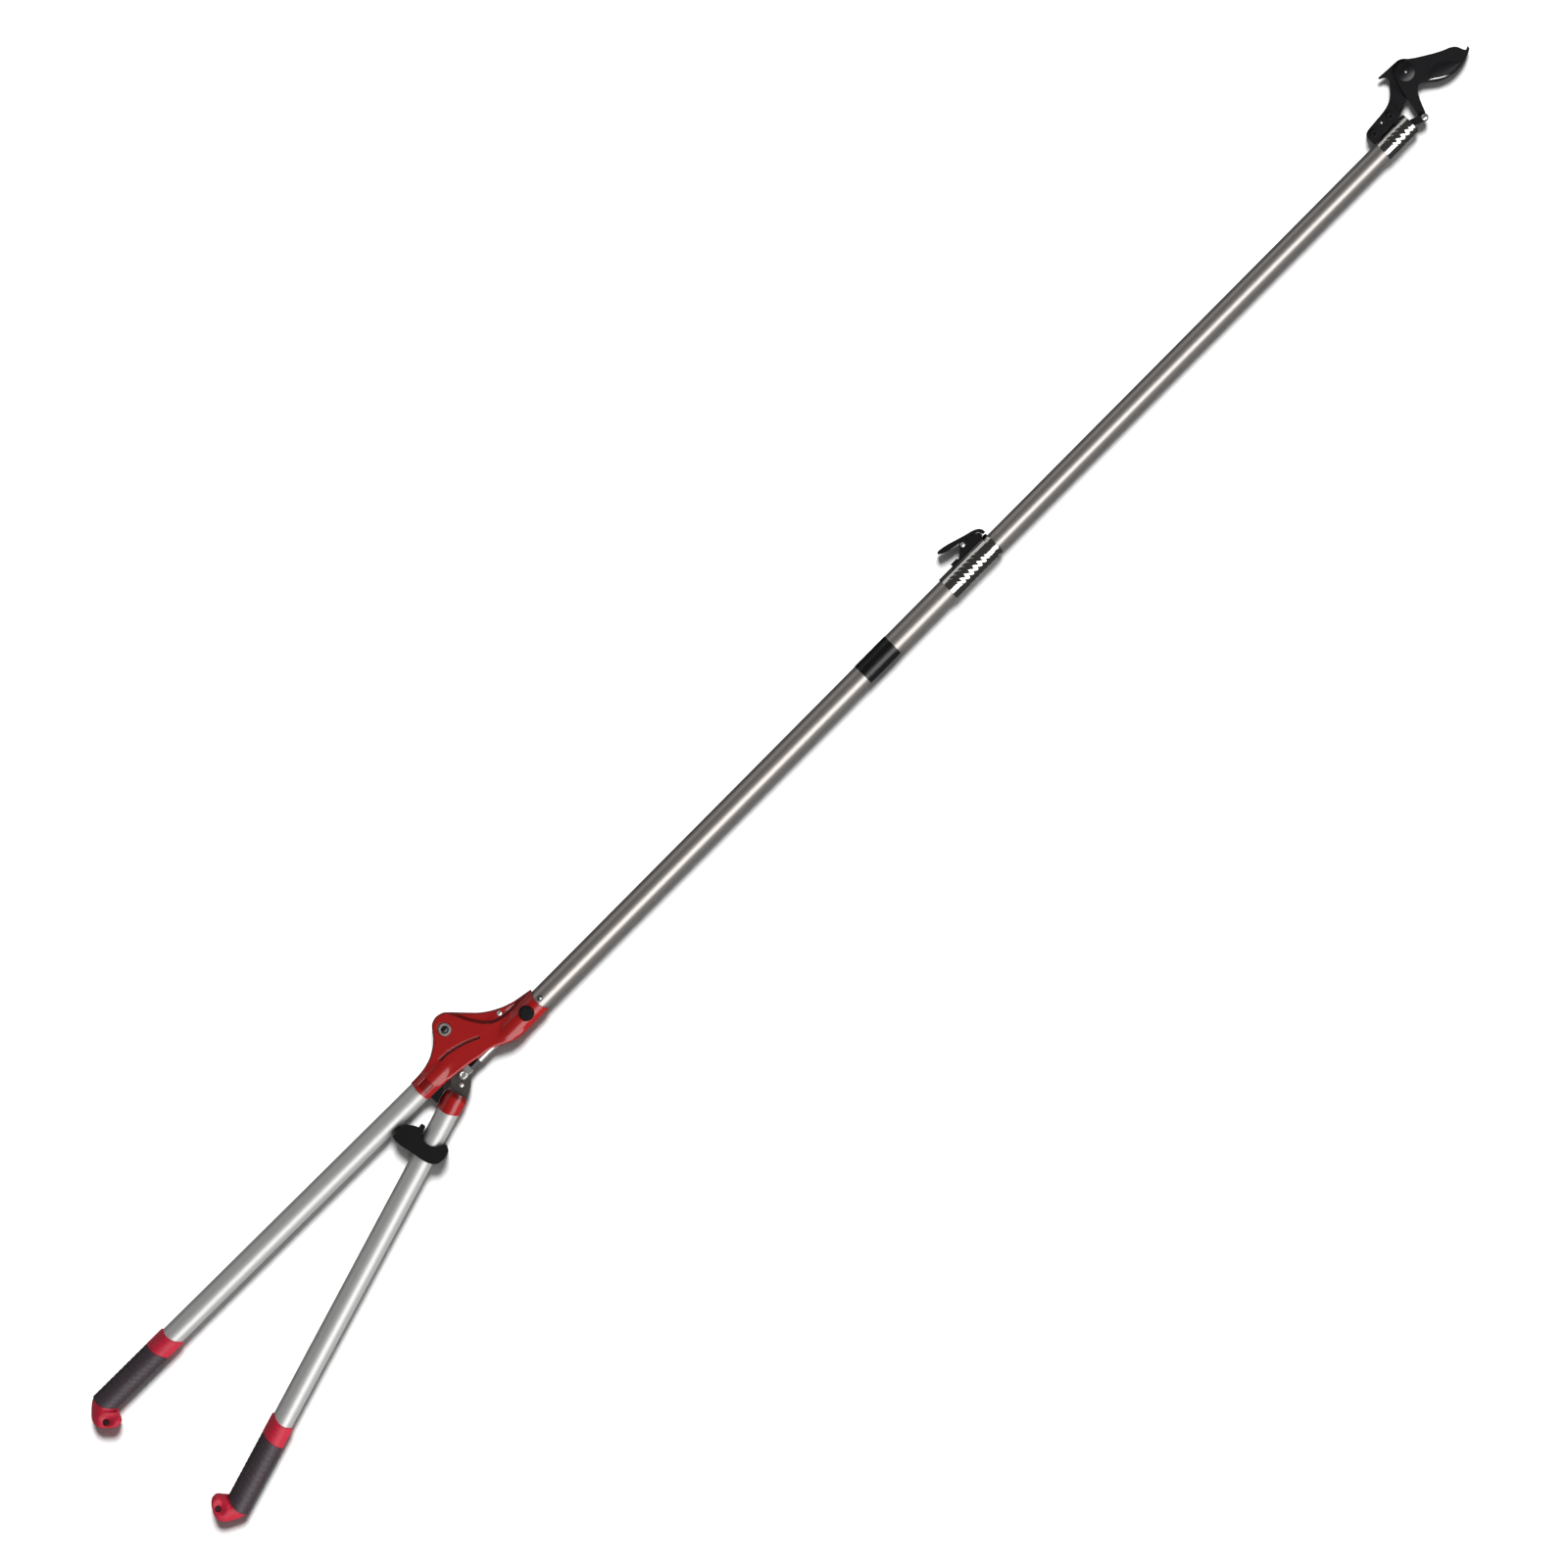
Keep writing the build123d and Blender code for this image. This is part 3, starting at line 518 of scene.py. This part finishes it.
# Fold line between the face and the flange, and the middle of the pressed groove
CREASE = [(8, 90), (19, 67.6), (31, 43), (43.6, 26), (56, 18.6), (74, 15.6), (105, 16.0), (125, 16.2)]
GROOVE = [(-30, 35.6), (-17, 34.9), (-3, 31.8), (11, 27.2), (24, 21.2)]
GROOVE_HALF = 2.3
# Middle and half side of the square dimple
DIMPLE = (-65.6, 25.9)
DIMPLE_HALF = 7.2
# Half round sockets over the handle tube and the pole, and what is left of them inside the face
SOCKET_RADIUS = 15.6
POLE_SOCKET_RADIUS = 16.1
BURIED_RADIUS = 6.0
# The head end is cut to a round saddle
SADDLE_CENTRE = 133.5
SADDLE_RADIUS = 27.0
SOCKET_BOLT_X = 88.0
HOUSING_START = -77.6
HOUSING_END = 108.0


def ridge(y, axis_y, radius):
    """Half round bar: the root of radius^2 - distance^2, flat beyond its sides."""
    return np.sqrt(np.clip(radius ** 2 - (y - axis_y) ** 2, 0.01, None))


def beyond_crease(x, y):
    """Distance past the crease toward the flange."""
    slope = height_on(CREASE, x + 0.5) - height_on(CREASE, x - 0.5)
    return np.where(x < 12, -20, (y - height_on(CREASE, x)) / np.sqrt(1 + slope ** 2))


def housing_height(x, y):
    """Height of a shell over the axis plane: a plate, lower beyond the crease, and two half round sockets.

    The three are joined by their smooth maximum.
    """
    beyond = beyond_crease(x, y)
    plate = PLATEAU - (PLATEAU - FLANGE) * smoothstep(beyond / 3.4 + 0.35)
    handle_radius = BURIED_RADIUS + (SOCKET_RADIUS - BURIED_RADIUS) * (1 - smoothstep((x + 46) / 44))
    pole_radius = BURIED_RADIUS + (POLE_SOCKET_RADIUS - BURIED_RADIUS) * smoothstep((x - 22) / 40)
    handle = ridge(y, FIXED_OFFSET - x * sin(FIXED_TILT), handle_radius)
    pole = ridge(y, 0, pole_radius)
    plate_fade = 1 - 0.25 * smoothstep((-x - 50) / 12) - 0.3 * smoothstep((x - 66) / 14)
    return larger(larger(plate * plate_fade, handle, 2.4), pole, 2.4)


def face_marks(x, y):
    """Depth of the marks on the front shell: a curved groove, a square dimple, two round recesses."""
    groove_y = height_on(GROOVE, x)
    off_groove = (y - groove_y) / np.sqrt(1 + np.gradient(groove_y, axis=0) ** 2)
    past_ends = np.maximum(np.maximum(GROOVE[0][0] - x, x - GROOVE[-1][0]), 0)
    groove = 2.1 * (1 - smoothstep(np.hypot(off_groove, past_ends) / (GROOVE_HALF + 0.3)))
    square = np.maximum(np.abs(x - DIMPLE[0]), np.abs(y - DIMPLE[1]))
    dimple = 0.9 * (1 - smoothstep((square - DIMPLE_HALF + 0.5) / 1.2))
    from_pivot = np.hypot(x - PIVOT[0], y - PIVOT[1])
    seat = 1.0 * (1 - smoothstep((from_pivot - 8.5) / 1.2))
    from_bolt = np.hypot(x - SOCKET_BOLT_X, y)
    bolt_seat = 1.7 * (1 - smoothstep((from_bolt - 8.6) / 1.6))
    return groove + dimple + seat + bolt_seat


def open_side(x):
    """Height of the slot left in the lower wall, where the lever plate and the rod come out."""
    plate = 3.9 * smoothstep((x + 52) / 1.5)
    rod = 5.0 * smoothstep((x + 41) / 1.5)
    return (plate + rod) * (1 - smoothstep((x - 56) / 2))


def housing_plan(rail_x):
    """Plan of a shell: x and y of the grid, and the distances in from the lower and the upper rail.

    Points crowd toward each rail as 1 minus a cosine. The tail end bulges by the square of the distance
    from the handle's axis, and the head end is cut to a round saddle.
    """
    corner = 1 - np.cos(np.linspace(0, pi / 2, 9))
    inner = np.linspace(0, 1, 116)[1:-1]
    low = height_on(LOWER_RAIL, rail_x)
    high = height_on(UPPER_RAIL, rail_x)
    slope_low = height_on(LOWER_RAIL, rail_x + 0.5) - height_on(LOWER_RAIL, rail_x - 0.5)
    slope_high = height_on(UPPER_RAIL, rail_x + 0.5) - height_on(UPPER_RAIL, rail_x - 0.5)
    lean_low = np.sqrt(1 + slope_low ** 2)
    lean_high = np.minimum(np.sqrt(1 + slope_high ** 2), 2.2)
    near_low = low + RIM_ROUND * lean_low * corner
    near_high = high - RIM_ROUND * lean_high * corner[::-1]
    middle = near_low[:, -1:] + (near_high[:, :1] - near_low[:, -1:]) * inner
    y = np.hstack([near_low, middle, near_high])
    bulge = 0.009 * np.clip(y - FIXED_OFFSET, -14, 14) ** 2
    saddle_x = SADDLE_CENTRE - np.sqrt(SADDLE_RADIUS ** 2 - np.clip(y, -18, 18) ** 2)
    x = rail_x + bulge * (1 - smoothstep((rail_x - HOUSING_START) / 14))
    x = x + (saddle_x - HOUSING_END) * smoothstep((rail_x - 86) / 22)
    return x, y, (y - low) / lean_low, (high - y) / lean_high


def housing_skin(name, front):
    """One shell as a height field between its lower and upper rails, with a wall at each side.

    Across each station the height drops near a rail as a quarter circle, and a straight wall closes the side.
    """
    rail_x = HOUSING_START + np.linspace(0, 1, 330)[:, None] * (HOUSING_END - HOUSING_START)
    x, y, from_lower, from_upper = housing_plan(rail_x)
    over_slot = smoothstep((rail_x + 44) / 8) * (1 - smoothstep((rail_x - 50) / 8))
    z = housing_height(x, y)
    for inward, drop in ((from_lower, RIM_ROUND - SLOT_RISE * over_slot), (from_upper, RIM_ROUND)):
        inside = np.clip(inward / RIM_ROUND, 0, 1)
        z = z - drop * (1 - np.sqrt(1 - (1 - inside) ** 2))
    marks = face_marks(x, y) if front else np.zeros_like(x)
    z = z - marks
    # Painted shade: a dark band at the foot of the crease, a dark line along the upper rim, and a darker
    # groove, dimple and seats
    crease_shade = 0.75 * np.exp(-((beyond_crease(x, y) - 2.2) / 1.9) ** 2) * smoothstep(from_upper / 3)
    upper_rim_shade = 0.7 * (1 - smoothstep(from_upper / 2.2))
    painted_shade = np.clip(crease_shade + upper_rim_shade + 0.55 * marks, 0, 0.85)
    foot = np.minimum(open_side(x[:, :1]), z[:, :1] - 0.2)
    wall_low = np.linspace(0, 1, WALL_COLUMNS + 1)[:-1] * (z[:, :1] - foot) + foot
    wall_high = np.linspace(1, 0, WALL_COLUMNS + 1)[1:] * z[:, -1:]
    z = np.hstack([wall_low, z, wall_high])
    sides = ((0, 0), (WALL_COLUMNS, WALL_COLUMNS))
    x, y, painted_shade = (np.pad(grid, sides, mode="edge") for grid in (x, y, painted_shade))
    points = np.stack([x, y, z if front else -z], axis=-1)
    shell = skin(name, points, around=False, sharp=60, painted_shade=painted_shade)
    outward_from_axis(shell, 1 if front else -1)
    wall = shell.modifiers.new("casting_wall", "SOLIDIFY")
    wall.thickness = WALL / 1000
    wall.offset = -1
    return shell


def outward_from_axis(shell, way):
    """Turn an open shell so that its faces look away from the axis plane."""
    faces = shell.data.polygons
    normals = np.empty(3 * len(faces), np.float32)
    areas = np.empty(len(faces), np.float32)
    faces.foreach_get("normal", normals)
    faces.foreach_get("area", areas)
    if way * np.dot(normals[2::3], areas) < 0:
        shell.data.flip_normals()


for end, front in (("front", True), ("back", False)):
    casting = housing_skin("housing_" + end + "_casting", front)
    settle(casting, "pole_and_fixed_handle", "red_paint", ("housing_" + end + "_shell",))


# --- Sleeves and caps on the tubes -------------------------------------------------------------------


def pole_ring(name, x, outside, bore):
    """Closed ring round the pole: outside radius as a function of x and angle, and a plain bore."""
    angle = np.linspace(0, 2 * pi, outside.shape[1], endpoint=False)
    radius = np.vstack([outside, np.full((2, angle.size), bore)])
    stations = np.concatenate([x, [x[-1], x[0]]])[:, None]
    x_all = stations * np.ones_like(radius)
    points = np.stack([x_all, radius * np.cos(angle), radius * np.sin(angle)], axis=-1)
    return skin(name, points, looped=True, sharp=50)


# How far a rib moves back for each millimetre toward the lever side
RIB_LEAN = 0.62


def slanted_ribs(x, angle, radius, first, last, pitch, depth):
    """Radius of a ribbed sleeve: rounded ribs that lean back as they pass toward the lever side.

    The valley is a squared cosine of the leaned place along the sleeve. It fades into smooth land at both
    ends and on the lever side.
    """
    side = radius * np.cos(angle)[None, :]
    leaned = x[:, None] + RIB_LEAN * side
    valley = np.cos(pi * (leaned - first) / pitch) ** 2
    along = smoothstep((leaned - first) / 3) * smoothstep((last - leaned) / 3)
    around = smoothstep((0.55 - side / radius) / 0.2)
    return radius - depth * valley * along * around


CLAMP_START = 837.0
CLAMP_END = 920.0
CLAMP_RADIUS = 16.0
CLAMP_BORE = 14.25
HEAD_START = 1610.0
HEAD_END = 1661.0
HEAD_RADIUS = 14.3
HEAD_BORE = 12.55
# Where the ribs start and end, their pitch and their depth
CLAMP_RIBS = (847.0, 899.0, 7.4, 0.5)
HEAD_RIBS = (1622.0, 1653.5, 7.8, 0.55)


def clamp_sleeve():
    """Chromed sleeve over the end of the outer tube: ribbed grip, smooth land and a turned-in lip."""
    x = np.linspace(CLAMP_START, CLAMP_END, 500)
    angle = np.linspace(0, 2 * pi, 180, endpoint=False)
    ribs = slanted_ribs(x, angle, CLAMP_RADIUS, *CLAMP_RIBS)
    roll = rolled(x - CLAMP_START, CLAMP_END - CLAMP_START, 1.6, 1.2)
    waist = 1.3 * smoothstep((x - 911.5) / 1.2) - 1.0 * smoothstep((x - 914.5) / 1.2)
    outside = ribs - (roll + waist)[:, None]
    return pole_ring("clamp_sleeve_ribbed", x, outside, CLAMP_BORE)


def head_sleeve():
    """Chromed sleeve over the end of the inner tube with four ribs."""
    x = np.linspace(HEAD_START, HEAD_END, 320)
    angle = np.linspace(0, 2 * pi, 180, endpoint=False)
    ribs = slanted_ribs(x, angle, HEAD_RADIUS, *HEAD_RIBS)
    roll = rolled(x - HEAD_START, HEAD_END - HEAD_START, 1.4, 1.0)
    return pole_ring("head_sleeve_ribbed", x, ribs - roll[:, None], HEAD_BORE)


CAP_FRONT = 47.0
CAP_REAR = (75.5, 0.06, -0.0175)
CAP_RADIUS = 15.0
CAP_BORE = 14.3
CAP_MOUTH = 11.0


def moving_cap():
    """Red cap on the front of the moving tube: a cone, a round body, and a saddle cut at its rear edge."""
    angle = np.linspace(0, 2 * pi, 128, endpoint=False)
    share = np.linspace(0, 1, 80)[:, None]
    rear = saddle(CAP_REAR, CAP_RADIUS * np.cos(angle))
    u = CAP_FRONT + share * (rear - CAP_FRONT)
    cone = 1.8 * (1 - smoothstep((u - CAP_FRONT) / 6.5))
    radius = CAP_RADIUS - cone - rolled(rear - u, 200, 0.8, 0.5)
    u = np.vstack([u, rear, np.full_like(rear, CAP_FRONT)])
    radius = np.vstack([radius, np.full_like(rear, CAP_BORE), np.full_like(rear, CAP_MOUTH)])
    points = on_handle(u, radius * np.cos(angle), radius * np.sin(angle), True)
    # Painted shade: a dark band over the front cone of the cap
    painted_shade = 0.6 * (1 - smoothstep((u - CAP_FRONT - 4.5) / 2.5))
    return skin("moving_socket_cap", points, looped=True, sharp=50, painted_shade=painted_shade)


settle(clamp_sleeve(), "pole_and_fixed_handle", "bright_chrome", ("clamp_sleeve",))
settle(head_sleeve(), "extension", "bright_chrome", ("head_sleeve",))
settle(moving_cap(), "moving_handle", "red_paint", ("moving_socket",))

# Edge rounds, in millimetres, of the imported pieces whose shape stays
EDGE_ROUNDS = {
    "stop_bumper": 1.2,
    "lock_lever": 0.8,
    "lock_bracket": 0.7,
    "head_casting": 0.8,
    "hook_plate": 0.6,
    "cutting_blade": 0.35,
    "blade_nut": 0.5,
    "main_pivot_nut": 0.4,
    "pole_socket_bolt": 0.8,
    "pole_rivet": 0.5,
    "housing_rivet": 0.5,
    "lever_plate": 0.4,
    "lever_rivet": 0.5,
    "rod_clevis": 0.6,
    "clevis_pin": 0.3,
    "rod_lock_nut": 0.3,
    "link_fork": 0.6,
    "link_pin": 0.4,
    "lock_pin": 0.3,
    "casting_bolt_rear": 0.4,
    "casting_bolt_front": 0.4,
    "tube_band": 0.25,
}
for node, width in EDGE_ROUNDS.items():
    softened(node, width)
# The rubber of the stop is as black and smooth as the moulded nylon
softened("rubber_stop", 1.0, "black_plastic")


def turned(name, place, profile, body, slot, replaced=()):
    """Turned piece: (radius, height) points, closed at the axis, carried round an upright axis at a place."""
    angle = np.linspace(0, 2 * pi, 64, endpoint=False)
    radius, height = np.array(profile).T[:, :, None]
    x = place[0] + radius * np.cos(angle)
    y = place[1] + radius * np.sin(angle)
    points = np.stack([x, y, height * np.ones_like(angle)], axis=-1)
    return settle(skin(name, points, sharp=38), body, slot, replaced)


def dome(edge, base, rise):
    """Profile of a flat-bottomed dome: height over the base is rise times 1 - (radius / edge)^2."""
    share = np.linspace(1, 0, 12)
    return [(0, base)] + [(edge * k, base + rise * (1 - k * k)) for k in share]


BLADE_PIVOT = (1701.4, 49.6)
LINK_PIN = (1677.6, -7.2)
CLEVIS_PIN = (-22.6, 1.8)
LEVER_PIN = (889.5, 25.8)
LEVER_RIVET = (-33.8, -5.5)
HOUSING_RIVET = (63.9, 24.0)
POLE_RIVET = (113.6, 1.0)
CASTING_RIVET = (1634.6, 26.4)

PIVOT_SHANK = [(0, -15.6), (4.6, -15.6), (5.0, -15.2), (5.0, 11.0), (0, 11.0)]
PIVOT_RING = [(0, 12.4), (4.7, 12.4), (4.9, 13.2), (5.8, 14.0), (6.8, 14.0), (7.7, 13.2), (8.2, 12.0),
              (8.3, 10.6), (0, 10.6)]
SOCKET_BOLT_WASHER = [(0, 14.4), (9.2, 14.4), (9.2, 15.6), (8.6, 16.2), (0, 16.3)]
# Painted shade: a black disc round the pole rivet's dome stands for the shade of the hole it sits in
POLE_RIVET_SHADE_RING = [(0, 13.9), (3.3, 13.9), (3.3, 14.9), (2.9, 15.2), (0, 15.2)]
CLEVIS_PIN_RING = [(0, 7.3), (2.2, 7.3), (2.6, 7.9), (3.7, 8.3), (4.6, 7.9), (5.0, 7.2), (0, 7.0)]

turned("pivot_bolt_shank", PIVOT, PIVOT_SHANK, "pole_and_fixed_handle", "zinc_steel", ("main_pivot_bolt",))
for name, place, profile, body, slot in (
    ("pivot_bolt_ring", PIVOT, PIVOT_RING, "pole_and_fixed_handle", "zinc_steel"),
    ("pivot_bolt_button", PIVOT, dome(4.6, 12.5, 1.8), "pole_and_fixed_handle", "black_bolt"),
    ("socket_bolt_washer", (SOCKET_BOLT_X, 0), SOCKET_BOLT_WASHER, "pole_and_fixed_handle", "black_bolt"),
    ("housing_rivet_dome", HOUSING_RIVET, dome(2.9, 8.0, 1.2), "pole_and_fixed_handle", "zinc_steel"),
    ("pole_rivet_shade_ring", POLE_RIVET, POLE_RIVET_SHADE_RING, "pole_and_fixed_handle", "black_bolt"),
    ("pole_rivet_dome", POLE_RIVET, dome(1.9, 15.2, 0.8), "pole_and_fixed_handle", "zinc_steel"),
    ("lever_rivet_dome", LEVER_RIVET, dome(2.7, 4.2, 1.1), "moving_handle", "zinc_steel"),
    ("clevis_pin_ring", CLEVIS_PIN, CLEVIS_PIN_RING, "pull_rod", "zinc_steel"),
    ("link_pin_dome", LINK_PIN, dome(3.4, 6.8, 1.3), "inner_pull_rod", "zinc_steel"),
    ("lock_pin_dome", LEVER_PIN, dome(2.3, 9.2, 0.9), "pole_and_fixed_handle", "zinc_steel"),
    ("blade_pivot_centre", BLADE_PIVOT, dome(1.5, 5.6, 0.7), "extension", "zinc_steel"),
    ("casting_rivet_dome", CASTING_RIVET, dome(1.3, 8.3, 0.5), "extension", "zinc_steel"),
):
    turned(name, place, profile, body, slot)


EDGE_CURVE = [(1713.5, 21.8), (1716.4, 20.1), (1724.5, 14.2), (1733, 9.4), (1739.5, 7.3)]
FLANK_LOWER = [(1716.5, 22.6), (1725, 16.2), (1735.5, 10.8), (1747, 8.6), (1758, 9.6)]
FLANK_UPPER = [(1716.5, 22.6), (1721, 28), (1731, 30), (1745, 24.5), (1758, 9.6)]
# Level just over the blade's face, and a level within the blade
BLADE_FACE = 2.02
WITHIN_BLADE = 1.6


def ground_edge():
    """Bright ground strip on the blade: a ribbon beside the cutting edge, thin at both ends.

    Its width is the root of a half sine, less a share that grows along it. Across, it rises inward, so that
    it faces a little toward the edge.
    """
    share = np.linspace(0, 1, 90)
    edge = through(EDGE_CURVE, share)
    along = np.gradient(edge, axis=0)
    normal = np.stack([-along[:, 1], along[:, 0]], axis=-1) / np.hypot(*along.T)[:, None]
    width = 1.7 * np.sin(pi * share) ** 0.5 * (1 - 0.35 * share)
    across = np.array([0.45, 0.45, 1.0, 1.0])
    level = np.array([1.7, BLADE_FACE, 2.4, 1.7])
    inward = edge[:, None, :] + normal[:, None, :] * (width[:, None] * across)[..., None]
    points = np.concatenate([inward, np.broadcast_to(level, (share.size, 4))[..., None]], axis=-1)
    return skin("ground_cutting_edge", points)


def blade_lens():
    """Ground flank of the blade: a lens between two curves, swelling by a product of two half sines."""
    s = np.linspace(0, 1, 80)
    t = np.linspace(0, 1, 40)
    lower = through(FLANK_LOWER, s)[:, None, :]
    upper = through(FLANK_UPPER, s)[:, None, :]
    plane = lower + (upper - lower) * t[None, :, None]
    swell = BLADE_FACE + 0.9 * np.outer(np.sin(pi * s), np.sin(pi * t))
    face = np.concatenate([plane, swell[..., None]], axis=-1)
    under = face[:, ::-1] * (1, 1, 0) + (0, 0, WITHIN_BLADE)
    return skin("ground_blade_flank", np.concatenate([face, under], axis=1))


settle(blade_lens(), "blade", "black_coated_steel")
settle(ground_edge(), "blade", "zinc_steel")


# --- Studio ------------------------------------------------------------------------------------------

# Point over which the camera hangs, its height, the width of the frame, both in metres, and the turn that
# lays the pole from corner to corner
AIM = (519.1, -26.6)
CAMERA_HEIGHT = 14.0
FRAME_WIDTH = 1.9658
CAMERA_ROLL = radians(-45.2)
SENSOR = 36.0
KEY_STRENGTH = 4.9
KEY_SPREAD = radians(22)
KEY_ELEVATION = radians(57)
FLOOR_SIZE = 14.0
FLOOR_LEVEL = -0.0002


def studio_floor():
    """Large plain white floor."""
    bpy.ops.mesh.primitive_plane_add(size=FLOOR_SIZE, location=(0, 0, FLOOR_LEVEL))
    floor = bpy.context.object
    floor.name = "studio_floor"
    vinyl = finish("matt_white_vinyl", "#F4F4F4", 0.0, 0.9, Specular_IOR_Level=0.1)[0]
    floor.data.materials.append(vinyl)
    floor.visible_glossy = False
    return floor


def area_light(name, place, size, power, size_y=None):
    """Soft light at a place, turned to the middle of the tool."""
    data = bpy.data.lights.new(name, "AREA")
    data.energy = power
    data.size = size
    if size_y:
        data.shape = "RECTANGLE"
        data.size_y = size_y
    lamp = bpy.data.objects.new(name, data)
    bpy.context.scene.collection.objects.link(lamp)
    lamp.location = place
    lamp.rotation_euler = (-Vector(place)).to_track_quat("-Z", "Y").to_euler()
    return lamp


def studio_world():
    """Dim even surround."""
    world = bpy.data.worlds.new("studio_surround")
    bpy.context.scene.world = world
    world.use_nodes = True
    tree = world.node_tree
    tree.nodes["Background"].inputs["Color"].default_value = linear("#C8C8C8")
    tree.nodes["Background"].inputs["Strength"].default_value = 0.08


def lit_only(lamp, piece, state):
    """Make a lamp light just one piece, or everything but that piece."""
    group = bpy.data.collections.new(lamp.name + "_targets")
    group.objects.link(piece)
    lamp.light_linking.receiver_collection = group
    group.collection_objects[0].light_linking.link_state = state


def studio_lights(floor):
    """A broad sun throws the soft floor shadow; panels on both long sides and a ceiling light the tool."""
    data = bpy.data.lights.new("overhead_key", "SUN")
    data.energy = KEY_STRENGTH
    data.angle = KEY_SPREAD
    key = bpy.data.objects.new("overhead_key", data)
    bpy.context.scene.collection.objects.link(key)
    level = cos(KEY_ELEVATION)
    key_way = Vector((level * sin(-CAMERA_ROLL), level * cos(CAMERA_ROLL), sin(KEY_ELEVATION)))
    key.rotation_euler = key_way.to_track_quat("Z", "Y").to_euler()
    lit_only(key, floor, "INCLUDE")
    ceiling = area_light("ceiling_fill", (0, 0, 3.0), 5.0, 16)
    ceiling.visible_glossy = False
    near_panel = area_light("near_side_panel", (0.0, -1.7, 1.7), 6.0, 128, 1.7)
    lit_only(near_panel, floor, "EXCLUDE")
    far_panel = area_light("far_side_panel", (0.0, 2.35, 0.9), 6.0, 16, 1.4)
    lit_only(far_panel, floor, "EXCLUDE")


def hang_camera():
    """Camera straight above, rolled so that the pole runs from lower left to upper right."""
    data = bpy.data.cameras.new("camera")
    data.sensor_width = SENSOR
    data.lens = SENSOR * CAMERA_HEIGHT / FRAME_WIDTH
    camera = bpy.data.objects.new("camera", data)
    bpy.context.scene.collection.objects.link(camera)
    camera.location = (ORIGIN[0] + AIM[0] / 1000, ORIGIN[1] + AIM[1] / 1000, ORIGIN[2] + CAMERA_HEIGHT)
    camera.rotation_euler = (0, 0, CAMERA_ROLL)
    bpy.context.scene.camera = camera


studio_world()
studio_lights(studio_floor())
hang_camera()

bpy.context.scene.view_settings.view_transform = "Standard"
bpy.context.scene.view_settings.look = "None"
